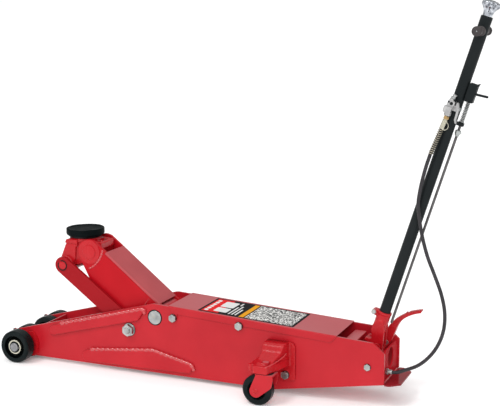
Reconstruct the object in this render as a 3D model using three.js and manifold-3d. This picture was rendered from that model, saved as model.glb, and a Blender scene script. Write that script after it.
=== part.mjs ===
// Long-chassis air and hydraulic floor jack with its lift arm part raised.
// Millimetres, +Z up. x runs rearward, towards the handle, and y = 0 is the middle of the chassis.
// Inside this file x is counted from the front axle; the whole jack is shifted at the end so that
// the origin is on the floor, under the middle of the machine.
import * as THREE from 'three';
import { mergeVertices } from 'three/addons/utils/BufferGeometryUtils.js';
import Module from 'manifold-3d';

const wasm = await Module();
wasm.setup();

// ---------------------------------------------------------------- driving dimensions
const ORIGIN_X = 885.64;          // middle of the machine, from the front axle
const GAP = 0.3;                  // left between pieces that touch
const ROUND = 24;                 // sides of a large circle
const SMALL = 12;                 // sides of a small circle
const CURVE = 6;                  // steps in a curved stretch of an outline

const HALF_WIDTH = 105;           // outer face of a side plate
const PLATE = 9;                  // side plate thickness
const INSIDE = HALF_WIDTH - PLATE;
const BELLY_Z = 17;               // underside of the side plates
const NOSE_SLOPE = 0.2728;        // rise of the front top edge
const NOSE_Z = 127.7;             // that edge's height over the front axle
const DECK_SLOPE = -0.059;        // fall of the rear top edge
const TAIL_X = 1501.5;            // rear end of the side plates

const MAIN = { x: 598, z: 235, r: 27.5, shoulder: 53.5 };   // lift arm pivot
const SADDLE_PIN = { x: 293, z: 457.5, r: 16 };
const LINK_OFFSET = { x: -111.5, z: -59.5 };                // from an arm pin to the link pin under it
const LINK_BOLT_R = 14;
const LINK_PIN_R = 17;
const LINK = { inner: 76, outer: 90, halfDepth: 33, endR: 34 };
const ARM = { inner: 58, outer: 70, tipR: 50, rootR: 38, topPlate: 9 };
const CRANK = { radius: 120, middle: THREE.MathUtils.degToRad(25.1), pinR: 14, lobeR: 26 };
const RAM = { z: 130, rodR: 22.5, bodyR: 50, neckR: 34, front: 730, neck: 1115, rear: 1149.7 };

const WHEEL = { r: 65, bore: 19.1, outerIn: 128, outerOut: 179, innerIn: 44, innerOut: 92 };
const AXLE_R = 18.5;
const CASTER = { x: 1074, y: 221, r: 56, width: 42, swivelX: 1102, axleR: 8, stemR: 12 };

const COVER = { front: 657, rear: 1327, sheet: 3.5, flange: 24 };
const COVER_BOLTS = [{ x: 678, z: 243.6, ear: 15 }, { x: 950, z: 243.5, ear: 12 }];
const CASTER_BOLT = { x: 1135.6, z: 82.7 };
const TAIL_BOLT = { x: 1441, z: 148 };
const REAR_PLATE = { x: 1490, sheet: 6, top: 204, hole: { z: 162, r: 36 }, ledgeZ: 86, ledgeEnd: 1556 };
const HOSE_PORT = { y: -60, z: 126 };

const HANDLE = { x: 1431.4, z: 200, tilt: THREE.MathUtils.degToRad(17.3), r: 20, wall: 3, top: 1219.3 };
const HANDLE_PIVOT = { x: 1450, z: 200, r: 11, legR: 22 };  // in the jack's own x and z
const YOKE = { inner: 14.5, outer: 27, lug: 14 };
const LOCK_ROD = { x: 35, r: 4.75, bottom: 103, top: 985 };
const PLUNGER = { x: 1408, r: 9, bottom: 105, top: 196 };
const PEDAL_PIVOT = { x: 1470, z: 205, r: 6, from: 30, to: 55 };
const HOSE_R = 6.35;
const SADDLE = { x: 236, padR: 76.5, top: 540, padBottom: 512.3, plateBottom: 505.3 };

// ---------------------------------------------------------------- materials
const paint = (color, roughness, metalness) => new THREE.MeshStandardMaterial({ color, roughness, metalness });
const RED = paint('#c4303a', 0.3, 0.0);
const ZINC = paint('#b9c0bb', 0.35, 0.9);
const STEEL = paint('#8f9296', 0.4, 0.9);
const CHROME = paint('#dfe3ea', 0.12, 1.0);
const BLACK = paint('#2b2f31', 0.55, 0.0);
const RUBBER = paint('#1e2324', 0.7, 0.0);
const BRASS = paint('#c2a057', 0.35, 0.9);

// ---------------------------------------------------------------- solids
function toSolid(geometry) {
  const bare = geometry.clone();
  bare.deleteAttribute('normal');
  bare.deleteAttribute('uv');
  const merged = mergeVertices(bare, 1e-4);
  return new wasm.Manifold(new wasm.Mesh({
    numProp: 3,
    vertProperties: new Float32Array(merged.attributes.position.array),
    triVerts: new Uint32Array(merged.index.array),
  }));
}

function toGeometry(solid) {
  const mesh = solid.getMesh();
  const geometry = new THREE.BufferGeometry();
  geometry.setAttribute('position', new THREE.BufferAttribute(new Float32Array(mesh.vertProperties), 3));
  geometry.setIndex(new THREE.BufferAttribute(new Uint32Array(mesh.triVerts), 1));
  geometry.computeVertexNormals();
  return geometry;
}

const join = (...pieces) => toGeometry(pieces.map(toSolid).reduce((sum, next) => sum.add(next)));
const cut = (piece, ...tools) => toGeometry(tools.map(toSolid).reduce((rest, tool) => rest.subtract(tool),
  toSolid(piece)));
const clip = (piece, keep) => toGeometry(toSolid(piece).intersect(toSolid(keep)));

function block(x0, x1, y0, y1, z0, z1) {
  return new THREE.BoxGeometry(x1 - x0, y1 - y0, z1 - z0)
    .translate((x0 + x1) / 2, (y0 + y1) / 2, (z0 + z1) / 2);
}

// Cylinders along an axis, through the point given by the two other coordinates.
function rodY(r, x, z, y0, y1, sides = SMALL) {
  return new THREE.CylinderGeometry(r, r, y1 - y0, sides).translate(x, (y0 + y1) / 2, z);
}
function rodX(r, y, z, x0, x1, sides = SMALL) {
  return new THREE.CylinderGeometry(r, r, x1 - x0, sides).rotateZ(-Math.PI / 2).translate((x0 + x1) / 2, y, z);
}
function rodZ(r, x, y, z0, z1, sides = SMALL) {
  return new THREE.CylinderGeometry(r, r, z1 - z0, sides).rotateX(Math.PI / 2).translate(x, y, (z0 + z1) / 2);
}
// A bore is drawn so that its flats clear a round of radius r by the gap, at any angle between them.
const boreRadius = (r, sides) => (r + GAP) / Math.cos(Math.PI / sides);
const boreY = (r, x, z, y0, y1, sides = SMALL) => rodY(boreRadius(r, sides), x, z, y0, y1, sides);
const boreX = (r, y, z, x0, x1, sides = SMALL) => rodX(boreRadius(r, sides), y, z, x0, x1, sides);
const boreZ = (r, x, y, z0, z1, sides = SMALL) => rodZ(boreRadius(r, sides), x, y, z0, z1, sides);
function rodBetween(r, a, b, sides = SMALL) {
  const along = new THREE.Vector3().subVectors(b, a);
  const turn = new THREE.Quaternion().setFromUnitVectors(new THREE.Vector3(0, 1, 0), along.clone().normalize());
  return new THREE.CylinderGeometry(r, r, along.length(), sides)
    .applyQuaternion(turn).translate(...a.clone().add(b).multiplyScalar(0.5).toArray());
}

// A hexagon bolt head or nut along y; af is its size across the flats.
const hexY = (af, x, z, y0, y1) => rodY(af / Math.sqrt(3), x, z, y0, y1, 6);

// A turned piece about z: the profile lists [radius, height], and closes on the axis.
function turnedZ(profile, sides = ROUND) {
  return new THREE.LatheGeometry(profile.map(([r, h]) => new THREE.Vector2(r, h)), sides).rotateX(Math.PI / 2);
}

// Extruded from y0 to y1 out of a shape drawn in x and z.
function plateXZ(shape, y0, y1) {
  return new THREE.ExtrudeGeometry(shape, { depth: y1 - y0, bevelEnabled: false, curveSegments: CURVE })
    .rotateX(Math.PI / 2).translate(0, y1, 0);
}
// Extruded from z0 to z1 out of a shape drawn in x and y.
function plateXY(shape, z0, z1) {
  return new THREE.ExtrudeGeometry(shape, { depth: z1 - z0, bevelEnabled: false, curveSegments: CURVE })
    .translate(0, 0, z0);
}

const outline = (...points) => new THREE.Shape(points.map(([x, y]) => new THREE.Vector2(x, y)));

// The smallest outline round a row of circles [x, y, r], with its arcs in short straight steps.
function beltRound(circles, sides = 16) {
  const points = circles.flatMap(([x, y, r]) => Array.from({ length: sides }, (_, i) => {
    const angle = (2 * Math.PI * i) / sides;
    return [x + r * Math.cos(angle), y + r * Math.sin(angle)];
  }));
  points.sort((a, b) => a[0] - b[0] || a[1] - b[1]);
  const turn = (o, a, b) => (a[0] - o[0]) * (b[1] - o[1]) - (a[1] - o[1]) * (b[0] - o[0]);
  const half = (list) => {
    const chain = [];
    for (const p of list) {
      while (chain.length > 1 && turn(chain.at(-2), chain.at(-1), p) <= 1e-6) chain.pop();
      chain.push(p);
    }
    return chain.slice(0, -1);
  };
  return outline(...half(points), ...half(points.reverse()));
}

// The y range between two distances from the middle, on the near (-1) or far (+1) side.
const span = (side, inner, outer) => (side < 0 ? [-outer, -inner] : [inner, outer]);

function part(parent, name, geometry, material) {
  const mesh = new THREE.Mesh(geometry, material);
  mesh.name = name;
  parent.add(mesh);
}

const SIDES = [[-1, 'near'], [1, 'far']];
const jack = new THREE.Group();
const linkBolt = { x: MAIN.x + LINK_OFFSET.x, z: MAIN.z + LINK_OFFSET.z };
const linkPin = { x: SADDLE_PIN.x + LINK_OFFSET.x, z: SADDLE_PIN.z + LINK_OFFSET.z };

// Top edge of a side plate: it rises to the pivot's shoulder, then falls towards the tail.
const noseEdge = (x) => NOSE_Z + NOSE_SLOPE * x;
const deckEdge = (x) => MAIN.z + MAIN.shoulder + DECK_SLOPE * (x - MAIN.x);

// ---------------------------------------------------------------- chassis
function sidePlateShape() {
  const shape = new THREE.Shape();
  const rise = Math.atan(NOSE_SLOPE);
  const fall = Math.atan(DECK_SLOPE);
  shape.moveTo(-22, noseEdge(-22));
  shape.quadraticCurveTo(-48, 108, -48, 63.5);
  shape.quadraticCurveTo(-48, BELLY_Z, 10, BELLY_Z);
  shape.lineTo(1085, BELLY_Z);
  shape.lineTo(TAIL_X, 90);
  shape.lineTo(TAIL_X, 202);
  shape.lineTo(1460, deckEdge(1460));
  shape.absarc(MAIN.x, MAIN.z, MAIN.shoulder, Math.PI / 2 + fall, Math.PI / 2 + rise, false);
  return shape;
}

function sidePlate(side) {
  const axleZ = WHEEL.r;
  const [y0, y1] = span(side, INSIDE, HALF_WIDTH);
  const thrust = span(side, HALF_WIDTH - 1, 117);
  const boss = span(side, 116, WHEEL.outerIn - GAP);
  const thrustDisc = clip(rodY(71, 0, axleZ, ...thrust, ROUND), block(-45, 80, ...thrust, BELLY_Z, 120));
  const body = join(plateXZ(sidePlateShape(), y0, y1), thrustDisc, rodY(34, 0, axleZ, ...boss));
  const through = span(side, INSIDE - 5, 135);
  const bores = [
    boreY(AXLE_R, 0, axleZ, ...through),
    boreY(MAIN.r, MAIN.x, MAIN.z, ...through, ROUND),
    boreY(LINK_BOLT_R, linkBolt.x, linkBolt.z, ...through),
    ...[...COVER_BOLTS, CASTER_BOLT, TAIL_BOLT].map(({ x, z }) => boreY(8, x, z, ...through)),
  ];
  return cut(body, ...bores);
}

// Welded doublers outside the side plates.
function upperBrace(side) {
  const below = (x, drop) => [x, noseEdge(x) - drop];
  const shape = new THREE.Shape();
  shape.moveTo(...below(150, 52));
  shape.lineTo(...below(528, 55));
  shape.lineTo(550, 250);
  shape.quadraticCurveTo(552, 262, 540, noseEdge(540) - 13);
  shape.lineTo(...below(150, 12));
  shape.bezierCurveTo(116, noseEdge(116) - 12, 116, noseEdge(116) - 52, ...below(150, 52));
  return plateXZ(shape, ...span(side, HALF_WIDTH + GAP, HALF_WIDTH + 11));
}

function lowerBrace(side) {
  const shape = new THREE.Shape();
  shape.moveTo(297, 26);
  shape.lineTo(744, 34);
  shape.quadraticCurveTo(770, 52, 746, 70);
  shape.lineTo(588, 106);
  shape.lineTo(304, 74);
  shape.bezierCurveTo(270, 70, 268, 28, 297, 26);
  return plateXZ(shape, ...span(side, HALF_WIDTH + GAP, HALF_WIDTH + 11));
}

function topCover() {
  const rim = (x) => deckEdge(x) + GAP;
  const lid = outline([COVER.front, rim(COVER.front)], [COVER.rear, rim(COVER.rear)],
    [COVER.rear, rim(COVER.rear) + COVER.sheet], [COVER.front, rim(COVER.front) + COVER.sheet]);
  const outer = HALF_WIDTH + GAP + COVER.sheet;
  const flange = outline([COVER.front, rim(COVER.front) + 1], [COVER.front + 12, rim(COVER.front) - COVER.flange],
    [COVER.rear - 22, rim(COVER.rear) - COVER.flange], [COVER.rear, rim(COVER.rear) + 1]);
  const flanges = SIDES.flatMap(([side]) => {
    const [y0, y1] = span(side, HALF_WIDTH + GAP, outer);
    return [plateXZ(flange, y0, y1), ...COVER_BOLTS.map(({ x, z, ear }) => plateXZ(
      beltRound([[x, z, ear], [x, z + 22, ear]]), y0, y1))];
  });
  const holes = COVER_BOLTS.map(({ x, z }) => boreY(8, x, z, -outer - 5, outer + 5));
  const above = block(600, 1400, -outer - 5, outer + 5, 0, 400);
  const body = join(plateXZ(lid, -outer, outer), ...flanges);
  const roof = outline([600, 0], [1400, 0], [1400, rim(1400) + COVER.sheet], [600, rim(600) + COVER.sheet]);
  return cut(clip(clip(body, above), plateXZ(roof, -outer - 5, outer + 5)), ...holes);
}

// A through bolt with a hexagon head and nut on washers outside the side plates.
function tieBolt({ x, z }, af, face, height) {
  const ends = [-1, 1].flatMap((side) => [
    rodY(af * 0.6, x, z, ...span(side, face, face + 2)),
    hexY(af, x, z, ...span(side, face + 1.5, face + height)),
  ]);
  return join(rodY(8, x, z, -face - 1, face + 1), ...ends);
}

function rearFrame() {
  const { x, sheet, top, hole, ledgeZ, ledgeEnd } = REAR_PLATE;
  const inner = INSIDE - GAP;
  const past = TAIL_X + GAP;
  const half = [[past, -inner], [past, -HALF_WIDTH], [ledgeEnd - 34, -HALF_WIDTH], [ledgeEnd, -74]];
  const ledge = outline([x, -inner], ...half, ...half.map(([px, py]) => [px, -py]).reverse(), [x, inner]);
  const upright = outline([-inner, ledgeZ], [inner, ledgeZ], [inner, top - 30], [inner - 32, top],
    [32 - inner, top], [-inner, top - 30]);
  const wall = new THREE.ExtrudeGeometry(upright, { depth: sheet, bevelEnabled: false })
    .rotateX(Math.PI / 2).rotateZ(Math.PI / 2).translate(x, 0, 0);
  return cut(join(wall, plateXY(ledge, ledgeZ, ledgeZ + sheet)), rodX(hole.r, 0, hole.z, x - 9, x + 19, ROUND),
    boreX(9, HOSE_PORT.y, HOSE_PORT.z, x - 9, x + 19));
}

// Front axle with a reduced end, which carries the retaining ring, on each side.
const frontAxle = () => join(rodY(AXLE_R, 0, WHEEL.r, -176, 176), rodY(17.5, 0, WHEEL.r, -180, 180));

const mainShaft = () => rodY(MAIN.r, MAIN.x, MAIN.z, -HALF_WIDTH - 1.5, HALF_WIDTH + 1.5, ROUND);

function linkPivotBolt(side) {
  const { x, z } = linkBolt;
  return join(rodY(LINK_BOLT_R, x, z, ...span(side, 74.5, HALF_WIDTH + 2)),
    hexY(41, x, z, ...span(side, HALF_WIDTH + GAP, HALF_WIDTH + 20)),
    rodY(13, x, z, ...span(side, HALF_WIDTH + 15, HALF_WIDTH + 25)));
}

function casterBracket(side) {
  const wallY = span(side, HALF_WIDTH + GAP, HALF_WIDTH + 9);
  const wall = new THREE.Shape();
  wall.moveTo(1062, 96);
  wall.lineTo(1110, 62);
  wall.lineTo(1160, 62);
  wall.quadraticCurveTo(1172, 62, 1172, 74);
  wall.lineTo(1172, 190);
  wall.quadraticCurveTo(1172, 206, 1156, 206);
  wall.lineTo(1076, 206);
  wall.quadraticCurveTo(1062, 206, 1062, 190);
  const flip = (points) => outline(...points.map(([x, y]) => [x, side * y]));
  const shelf = flip([[1042, HALF_WIDTH + 2], [1042, 228], [1060, 246], [1084, 252], [1116, 250], [1128, 236],
    [1136, 205], [1146, 150], [1146, HALF_WIDTH + 2]]);
  const house = flip([[1058, HALF_WIDTH + 2], [1058, 196], [1074, 207], [1104, 207], [1116, 186], [1122, 150],
    [1122, HALF_WIDTH + 2]]);
  const slopes = [new THREE.Vector3(0, 0.5 * side, 0.866), new THREE.Vector3(0, 0, 1)];
  const lid = plateXZ(outline([1000, 100], [1200, 100], [1200, 199], [1000, 199]), -260, 260);
  const roof = block(1000, 1200, -300, 300, -200, 0).applyQuaternion(
    new THREE.Quaternion().setFromUnitVectors(slopes[1], slopes[0])).translate(0, side * 172, 199);
  const housing = clip(clip(plateXY(house, 140, 210), lid), roof);
  return cut(join(plateXZ(wall, ...wallY), plateXY(shelf, 121, 150), housing),
    boreZ(CASTER.stemR, CASTER.swivelX, side * CASTER.y, 110, 166),
    boreY(8, CASTER_BOLT.x, CASTER_BOLT.z, ...span(side, HALF_WIDTH - 5, HALF_WIDTH + 15)));
}

// Hydraulic unit: reservoir, lug for the handle, stud for the pedal and bore for the plunger.
function pumpBlock() {
  const { x, z, r } = HANDLE_PIVOT;
  const lug = plateXZ(beltRound([[x, z, 20], [1446, 125, 18]]), -YOKE.lug, YOKE.lug);
  const ear = plateXZ(beltRound([[PEDAL_PIVOT.x, PEDAL_PIVOT.z, 14], [1415, 115, 14]]), 57, 65);
  const stud = rodY(PEDAL_PIVOT.r, PEDAL_PIVOT.x, PEDAL_PIVOT.z, PEDAL_PIVOT.from - 2, 60);
  const body = join(block(1150, 1386, -85, 85, 70, 180), block(1340, 1386, -72, 72, 170, 226),
    block(1380, 1440, -70, 70, 70, 150), lug, ear, stud);
  return cut(body, boreZ(PLUNGER.r, PLUNGER.x, 0, 72, 160), boreY(r, x, z, -20, 20),
    boreY(8, TAIL_BOLT.x, TAIL_BOLT.z, -90, 90));
}

const ramCylinder = () => cut(join(rodX(RAM.bodyR, 0, RAM.z, RAM.front, RAM.neck, ROUND),
  rodX(RAM.neckR, 0, RAM.z, RAM.neck - 5, RAM.rear, ROUND)),
boreX(RAM.rodR, 0, RAM.z, RAM.front - 5, RAM.neck - 15, ROUND));

function buildChassis() {
  for (const [side, name] of SIDES) {
    part(jack, `side_plate_${name}`, sidePlate(side), RED);
    part(jack, `upper_brace_${name}`, upperBrace(side), RED);
    part(jack, `lower_brace_${name}`, lowerBrace(side), RED);
    part(jack, `link_bolt_${name}`, linkPivotBolt(side), ZINC);
    part(jack, `caster_bracket_${name}`, casterBracket(side), RED);
  }
  const across = INSIDE - GAP;
  const coverFace = HALF_WIDTH + 2 * GAP + COVER.sheet;
  const casterFace = HALF_WIDTH + 9 + GAP;
  part(jack, 'top_cover', topCover(), RED);
  part(jack, 'front_cross_plate', block(69, 75, -across, across, 25, 140), RED);
  part(jack, 'rear_frame', rearFrame(), RED);
  part(jack, 'front_axle', frontAxle(), STEEL);
  part(jack, 'main_pivot_shaft', mainShaft(), ZINC);
  part(jack, 'cover_bolt_front', tieBolt(COVER_BOLTS[0], 27, coverFace, 11), ZINC);
  part(jack, 'cover_bolt_rear', tieBolt(COVER_BOLTS[1], 27, coverFace, 11), ZINC);
  part(jack, 'caster_tie_bolt', tieBolt(CASTER_BOLT, 27, casterFace, 11), ZINC);
  part(jack, 'rear_tie_bolt', tieBolt(TAIL_BOLT, 22, HALF_WIDTH + GAP, 7), ZINC);
  part(jack, 'pump_block', pumpBlock(), RED);
  part(jack, 'ram_cylinder', ramCylinder(), RED);
  part(jack, 'air_motor', rodX(25, -66, 172, 960, 1130, ROUND), STEEL);
  part(jack, 'hose_fitting', join(rodX(9, HOSE_PORT.y, HOSE_PORT.z, 1476, 1504),
    rodX(12, HOSE_PORT.y, HOSE_PORT.z, 1496.3, 1505, 6), rodX(8.5, HOSE_PORT.y, HOSE_PORT.z, 1503, 1514)), ZINC);
  part(jack, 'handle_pivot_pin', rodY(HANDLE_PIVOT.r, HANDLE_PIVOT.x, HANDLE_PIVOT.z, -31, 29), ZINC);
}

// ---------------------------------------------------------------- lift arm and linkage
// The arm is drawn along its own line: u from the main pivot to the saddle pin, n square to it.
const armLength = Math.hypot(SADDLE_PIN.x - MAIN.x, SADDLE_PIN.z - MAIN.z);
const armAngle = Math.atan2(SADDLE_PIN.z - MAIN.z, MAIN.x - SADDLE_PIN.x);
const armPoint = (u, n) => [
  MAIN.x - u * Math.cos(armAngle) + n * Math.sin(armAngle),
  MAIN.z + u * Math.sin(armAngle) + n * Math.cos(armAngle),
];
const crankTurn = armAngle - CRANK.middle;
const crankPin = { x: MAIN.x - CRANK.radius * Math.sin(crankTurn), z: MAIN.z - CRANK.radius * Math.cos(crankTurn) };
const ROOF = { from: 24, to: 320, lowFrom: 29.8, lowTo: 39.7 };   // u and n of the top plate
const roofLow = (u) => ROOF.lowFrom + (ROOF.lowTo - ROOF.lowFrom) * (u - ROOF.from) / (ROOF.to - ROOF.from);

// Room for the top plate: everything above its underside, between two places along the arm.
const roofRoom = (u0, u1) => outline(armPoint(u0, roofLow(u0) - GAP), armPoint(u1, roofLow(u1) - GAP),
  armPoint(u1, 90), armPoint(u0, 90));

function armSide(side) {
  const [y0, y1] = span(side, ARM.inner, ARM.outer);
  const beam = plateXZ(beltRound([[...armPoint(armLength, 0), ARM.tipR], [...armPoint(0, 0), ARM.rootR],
    [...armPoint(50, -54), ARM.rootR], [...armPoint(296, -53), ARM.rootR]], ROUND), y0, y1);
  const crank = plateXZ(beltRound([[MAIN.x, MAIN.z, ARM.rootR], [crankPin.x, crankPin.z, CRANK.lobeR],
    [...armPoint(90, -20), 30]]), y0, y1);
  const recess = plateXZ(roofRoom(ROOF.from - GAP, ROOF.to + GAP), y0 - 5, y1 + 5);
  const spacer = rodY(36, MAIN.x, MAIN.z, ...span(side, ARM.outer - 2, INSIDE - 0.6), ROUND);
  const through = span(side, ARM.inner - 5, INSIDE + 5);
  return cut(join(cut(join(beam, crank), recess), spacer),
    boreY(MAIN.r, MAIN.x, MAIN.z, ...through, ROUND),
    boreY(SADDLE_PIN.r, SADDLE_PIN.x, SADDLE_PIN.z, ...through),
    boreY(CRANK.pinR, crankPin.x, crankPin.z, ...through));
}

function armTopPlate() {
  const { from, to, lowFrom, lowTo } = ROOF;
  return plateXZ(outline(armPoint(from, lowFrom), armPoint(to, lowTo), armPoint(to, lowTo + ARM.topPlate),
    armPoint(from, lowFrom + ARM.topPlate)), -ARM.outer, ARM.outer);
}

const armPivotTube = () => cut(rodY(35, MAIN.x, MAIN.z, GAP - ARM.inner, ARM.inner - GAP, ROUND),
  boreY(MAIN.r, MAIN.x, MAIN.z, -90, 90, ROUND),
  plateXZ(roofRoom(ROOF.from - GAP, 90), -90, 90));

function saddlePin() {
  const { x, z, r } = SADDLE_PIN;
  const caps = [-1, 1].map((side) => rodY(29, x, z, ...span(side, ARM.outer + GAP, 75.2), ROUND));
  return join(rodY(r, x, z, -73, 73), ...caps);
}

function linkBar(side) {
  const bar = beltRound([[linkBolt.x, linkBolt.z, LINK.endR], [linkPin.x, linkPin.z, LINK.endR]], ROUND);
  return cut(plateXZ(bar, ...span(side, LINK.inner, LINK.outer)),
    boreY(LINK_BOLT_R, linkBolt.x, linkBolt.z, -110, 110), boreY(LINK_PIN_R, linkPin.x, linkPin.z, -110, 110));
}

// Casting that carries the saddle: hubs on the arm pin and on the link pin, and a seat on top.
function saddleBracket() {
  const { x, z, r } = SADDLE_PIN;
  const seatTop = SADDLE.plateBottom - GAP;
  const middle = plateXZ(beltRound([[x, z, 38], [linkPin.x + 40, linkPin.z + 30, 30], [SADDLE.x + 20, 480, 22]]),
    1 - ARM.inner, ARM.inner - 1);
  const nose = plateXZ(outline([linkPin.x - 22, linkPin.z + 20], [linkPin.x + 20, linkPin.z - 22],
    [240, 425], [238, 486], [SADDLE.x - 2, seatTop - 10], [178, seatTop - 10]), -75, 75);
  const hub = rodY(30, linkPin.x, linkPin.z, -75, 75, ROUND);
  const seat = rodZ(62, SADDLE.x, 0, seatTop - 16, seatTop, ROUND);
  const seatWeb = rodZ(50, SADDLE.x, 0, 470, seatTop - 10, ROUND);
  const armTips = SIDES.map(([side]) => rodY(ARM.tipR + 1.6, x, z, ...span(side, ARM.inner - 1, 100), ROUND));
  return cut(join(middle, nose, hub, seatWeb, seat), ...armTips,
    boreY(r, x, z, -90, 90), boreY(LINK_PIN_R, linkPin.x, linkPin.z, -90, 90),
    boreZ(18, SADDLE.x, 0, 484, seatTop + 5));
}

const saddlePlate = () => join(rodZ(68, SADDLE.x, 0, SADDLE.plateBottom, SADDLE.padBottom - GAP, ROUND),
  rodZ(18, SADDLE.x, 0, 486, SADDLE.padBottom - 3));

function saddlePad() {
  const h = SADDLE.top - SADDLE.padBottom;
  const profile = [[0, 0], [64, 0], [72, 5], [SADDLE.padR, h * 0.5], [75, h - 4], [70, h], [60, h - 2], [0, h - 2]];
  return turnedZ(profile).translate(SADDLE.x, 0, SADDLE.padBottom);
}

// Crosshead with an upright slot, in which the crank pin rises and falls, on the ram's rod.
function ramRod() {
  const slotHalf = CRANK.pinR + 4;
  const low = MAIN.z - CRANK.radius - CRANK.pinR - 3;
  const high = MAIN.z - CRANK.radius * Math.cos(THREE.MathUtils.degToRad(41)) + CRANK.pinR + 3;
  const head = block(crankPin.x - slotHalf - 16, crankPin.x + slotHalf + 20, -28, 28, low - 14, high + 14);
  return cut(join(head, rodX(RAM.rodR, 0, RAM.z, crankPin.x + slotHalf + 15, 940, ROUND)),
    block(crankPin.x - slotHalf, crankPin.x + slotHalf, -40, 40, low, high));
}

function buildLinkage() {
  for (const [side, name] of SIDES) {
    part(jack, `arm_side_${name}`, armSide(side), RED);
    part(jack, `link_bar_${name}`, linkBar(side), RED);
  }
  part(jack, 'arm_top_plate', armTopPlate(), RED);
  part(jack, 'arm_pivot_tube', armPivotTube(), RED);
  part(jack, 'crank_pin', rodY(CRANK.pinR, crankPin.x, crankPin.z, -ARM.outer, ARM.outer), STEEL);
  part(jack, 'saddle_pin', saddlePin(), RED);
  part(jack, 'link_pin', rodY(LINK_PIN_R, linkPin.x, linkPin.z, -92, 92), RED);
  part(jack, 'saddle_bracket', saddleBracket(), RED);
  part(jack, 'saddle_plate', saddlePlate(), BLACK);
  part(jack, 'saddle_pad', saddlePad(), RUBBER);
  part(jack, 'ram_rod', ramRod(), STEEL);
}

// ---------------------------------------------------------------- wheels and casters
// A tyred wheel along y: bevelled shoulders and a recessed, bored web.
function tyredWheel(r, half, bore, rimR, web) {
  const profile = [[bore, -web], [rimR, -web], [rimR, -half], [r - 4, -half], [r, -half + 5], [r, half - 5],
    [r - 4, half], [rimR, half], [rimR, web], [bore, web], [bore, -web]];
  return new THREE.LatheGeometry(profile.map(([pr, h]) => new THREE.Vector2(pr, h)), ROUND);
}

function buildFrontWheels() {
  const places = [['outer_near', -1, WHEEL.outerIn, WHEEL.outerOut], ['inner_near', -1, WHEEL.innerIn, WHEEL.innerOut],
    ['inner_far', 1, WHEEL.innerIn, WHEEL.innerOut], ['outer_far', 1, WHEEL.outerIn, WHEEL.outerOut]];
  for (const [name, side, inner, outer] of places) {
    const half = (outer - inner) / 2;
    const wheel = tyredWheel(WHEEL.r, half, WHEEL.bore, 43, half - 11)
      .translate(0, side * (inner + half), WHEEL.r);
    part(jack, `front_wheel_${name}`, wheel, RUBBER);
  }
}

function casterFork(side) {
  const { x, y, r, width, swivelX, axleR, stemR } = CASTER;
  const centre = side * y;
  const gapHalf = width / 2 + 2;
  const legShape = beltRound([[x, r, 23], [1084, 107.5, 12], [1127, 107.5, 12]]);
  const legs = [-1, 1].map((cheek) => plateXZ(legShape, centre + Math.min(cheek * gapHalf, cheek * (gapHalf + 6)),
    centre + Math.max(cheek * gapHalf, cheek * (gapHalf + 6))));
  const crown = block(1072, 1139, centre - gapHalf - 6, centre + gapHalf + 6, 114, 119.5);
  const axle = rodY(axleR, x, r, centre - gapHalf - 8, centre + gapHalf + 8);
  return join(...legs, crown, rodZ(24, swivelX, centre, 115, 120.5), rodZ(stemR, swivelX, centre, 115, 160), axle);
}

function buildCasters() {
  for (const [side, name] of SIDES) {
    part(jack, `caster_fork_${name}`, casterFork(side), RED);
    const wheel = tyredWheel(CASTER.r, CASTER.width / 2, CASTER.axleR + 0.5, 34, CASTER.width / 2 - 6)
      .translate(CASTER.x, side * CASTER.y, CASTER.r);
    part(jack, `caster_wheel_${name}`, wheel, RUBBER);
  }
}

// ---------------------------------------------------------------- handle
// Drawn upright in a group that is tilted rearward: z runs up the tube, x to its rear.
const handle = new THREE.Group();
handle.position.set(HANDLE.x, 0, HANDLE.z);
handle.rotation.y = HANDLE.tilt;
jack.add(handle);

// The handle pivot's place in the tilted group.
const pivotLocal = {
  x: (HANDLE_PIVOT.x - HANDLE.x) * Math.cos(HANDLE.tilt),
  z: (HANDLE_PIVOT.x - HANDLE.x) * Math.sin(HANDLE.tilt),
};

function handleSocket() {
  const legs = [-1, 1].map((side) => plateXZ(beltRound([[pivotLocal.x, pivotLocal.z, HANDLE_PIVOT.legR],
    [-2, 76, 20], [10, 76, 14]]), ...span(side, YOKE.inner, YOKE.outer)));
  const nose = [-1, 1].map((side) => plateXZ(outline([pivotLocal.x, 0], [-34, 14], [-32, 24], [0, 30]),
    ...span(side, YOKE.inner, YOKE.outer)));
  const bridge = plateXZ(outline([-34, 14], [-11, 9], [-9, 20], [-32, 24]), -YOKE.outer, YOKE.outer);
  const shoulder = plateXZ(beltRound([[-2, 62, 20], [6, 62, 16], [0, 84, 20]]), -YOKE.outer, YOKE.outer);
  const barrel = rodZ(24.8, 0, 0, 60, 134, ROUND);
  const collar = rodZ(26.5, 0, 0, 125, 134.3, ROUND);
  const ear = plateXZ(beltRound([[-34, 122, 10], [-18, 122, 12]]), -13, 13);
  return cut(join(...legs, ...nose, bridge, shoulder, barrel, collar, ear),
    boreZ(HANDLE.r, 0, 0, 71.7, 150, ROUND),
    boreY(HANDLE_PIVOT.r, pivotLocal.x, pivotLocal.z, -40, 40),
    boreY(5, -35.3, 122, -30, 30), block(-60, -24.5, -1.2, 1.2, 100, 150));
}

function handleTube() {
  return cut(rodZ(HANDLE.r, 0, 0, 72, HANDLE.top, ROUND), rodZ(HANDLE.r - HANDLE.wall, 0, 0, 60, HANDLE.top + 5, ROUND),
    boreY(6, 0, 1169.8, -30, 30));
}

// Cross bar with a flanged grip on each side of the tube.
function gripSpool() {
  const z = 1169.8;
  const rings = [[6, -95, 95], [11, -95, -22], [16.5, -96, -90], [16.5, -28.5, -20.6], [11, 20.6, 95],
    [16.5, 90, 96]];
  return join(...rings.map(([r, y0, y1]) => rodY(r, 0, z, y0, y1)));
}

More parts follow.
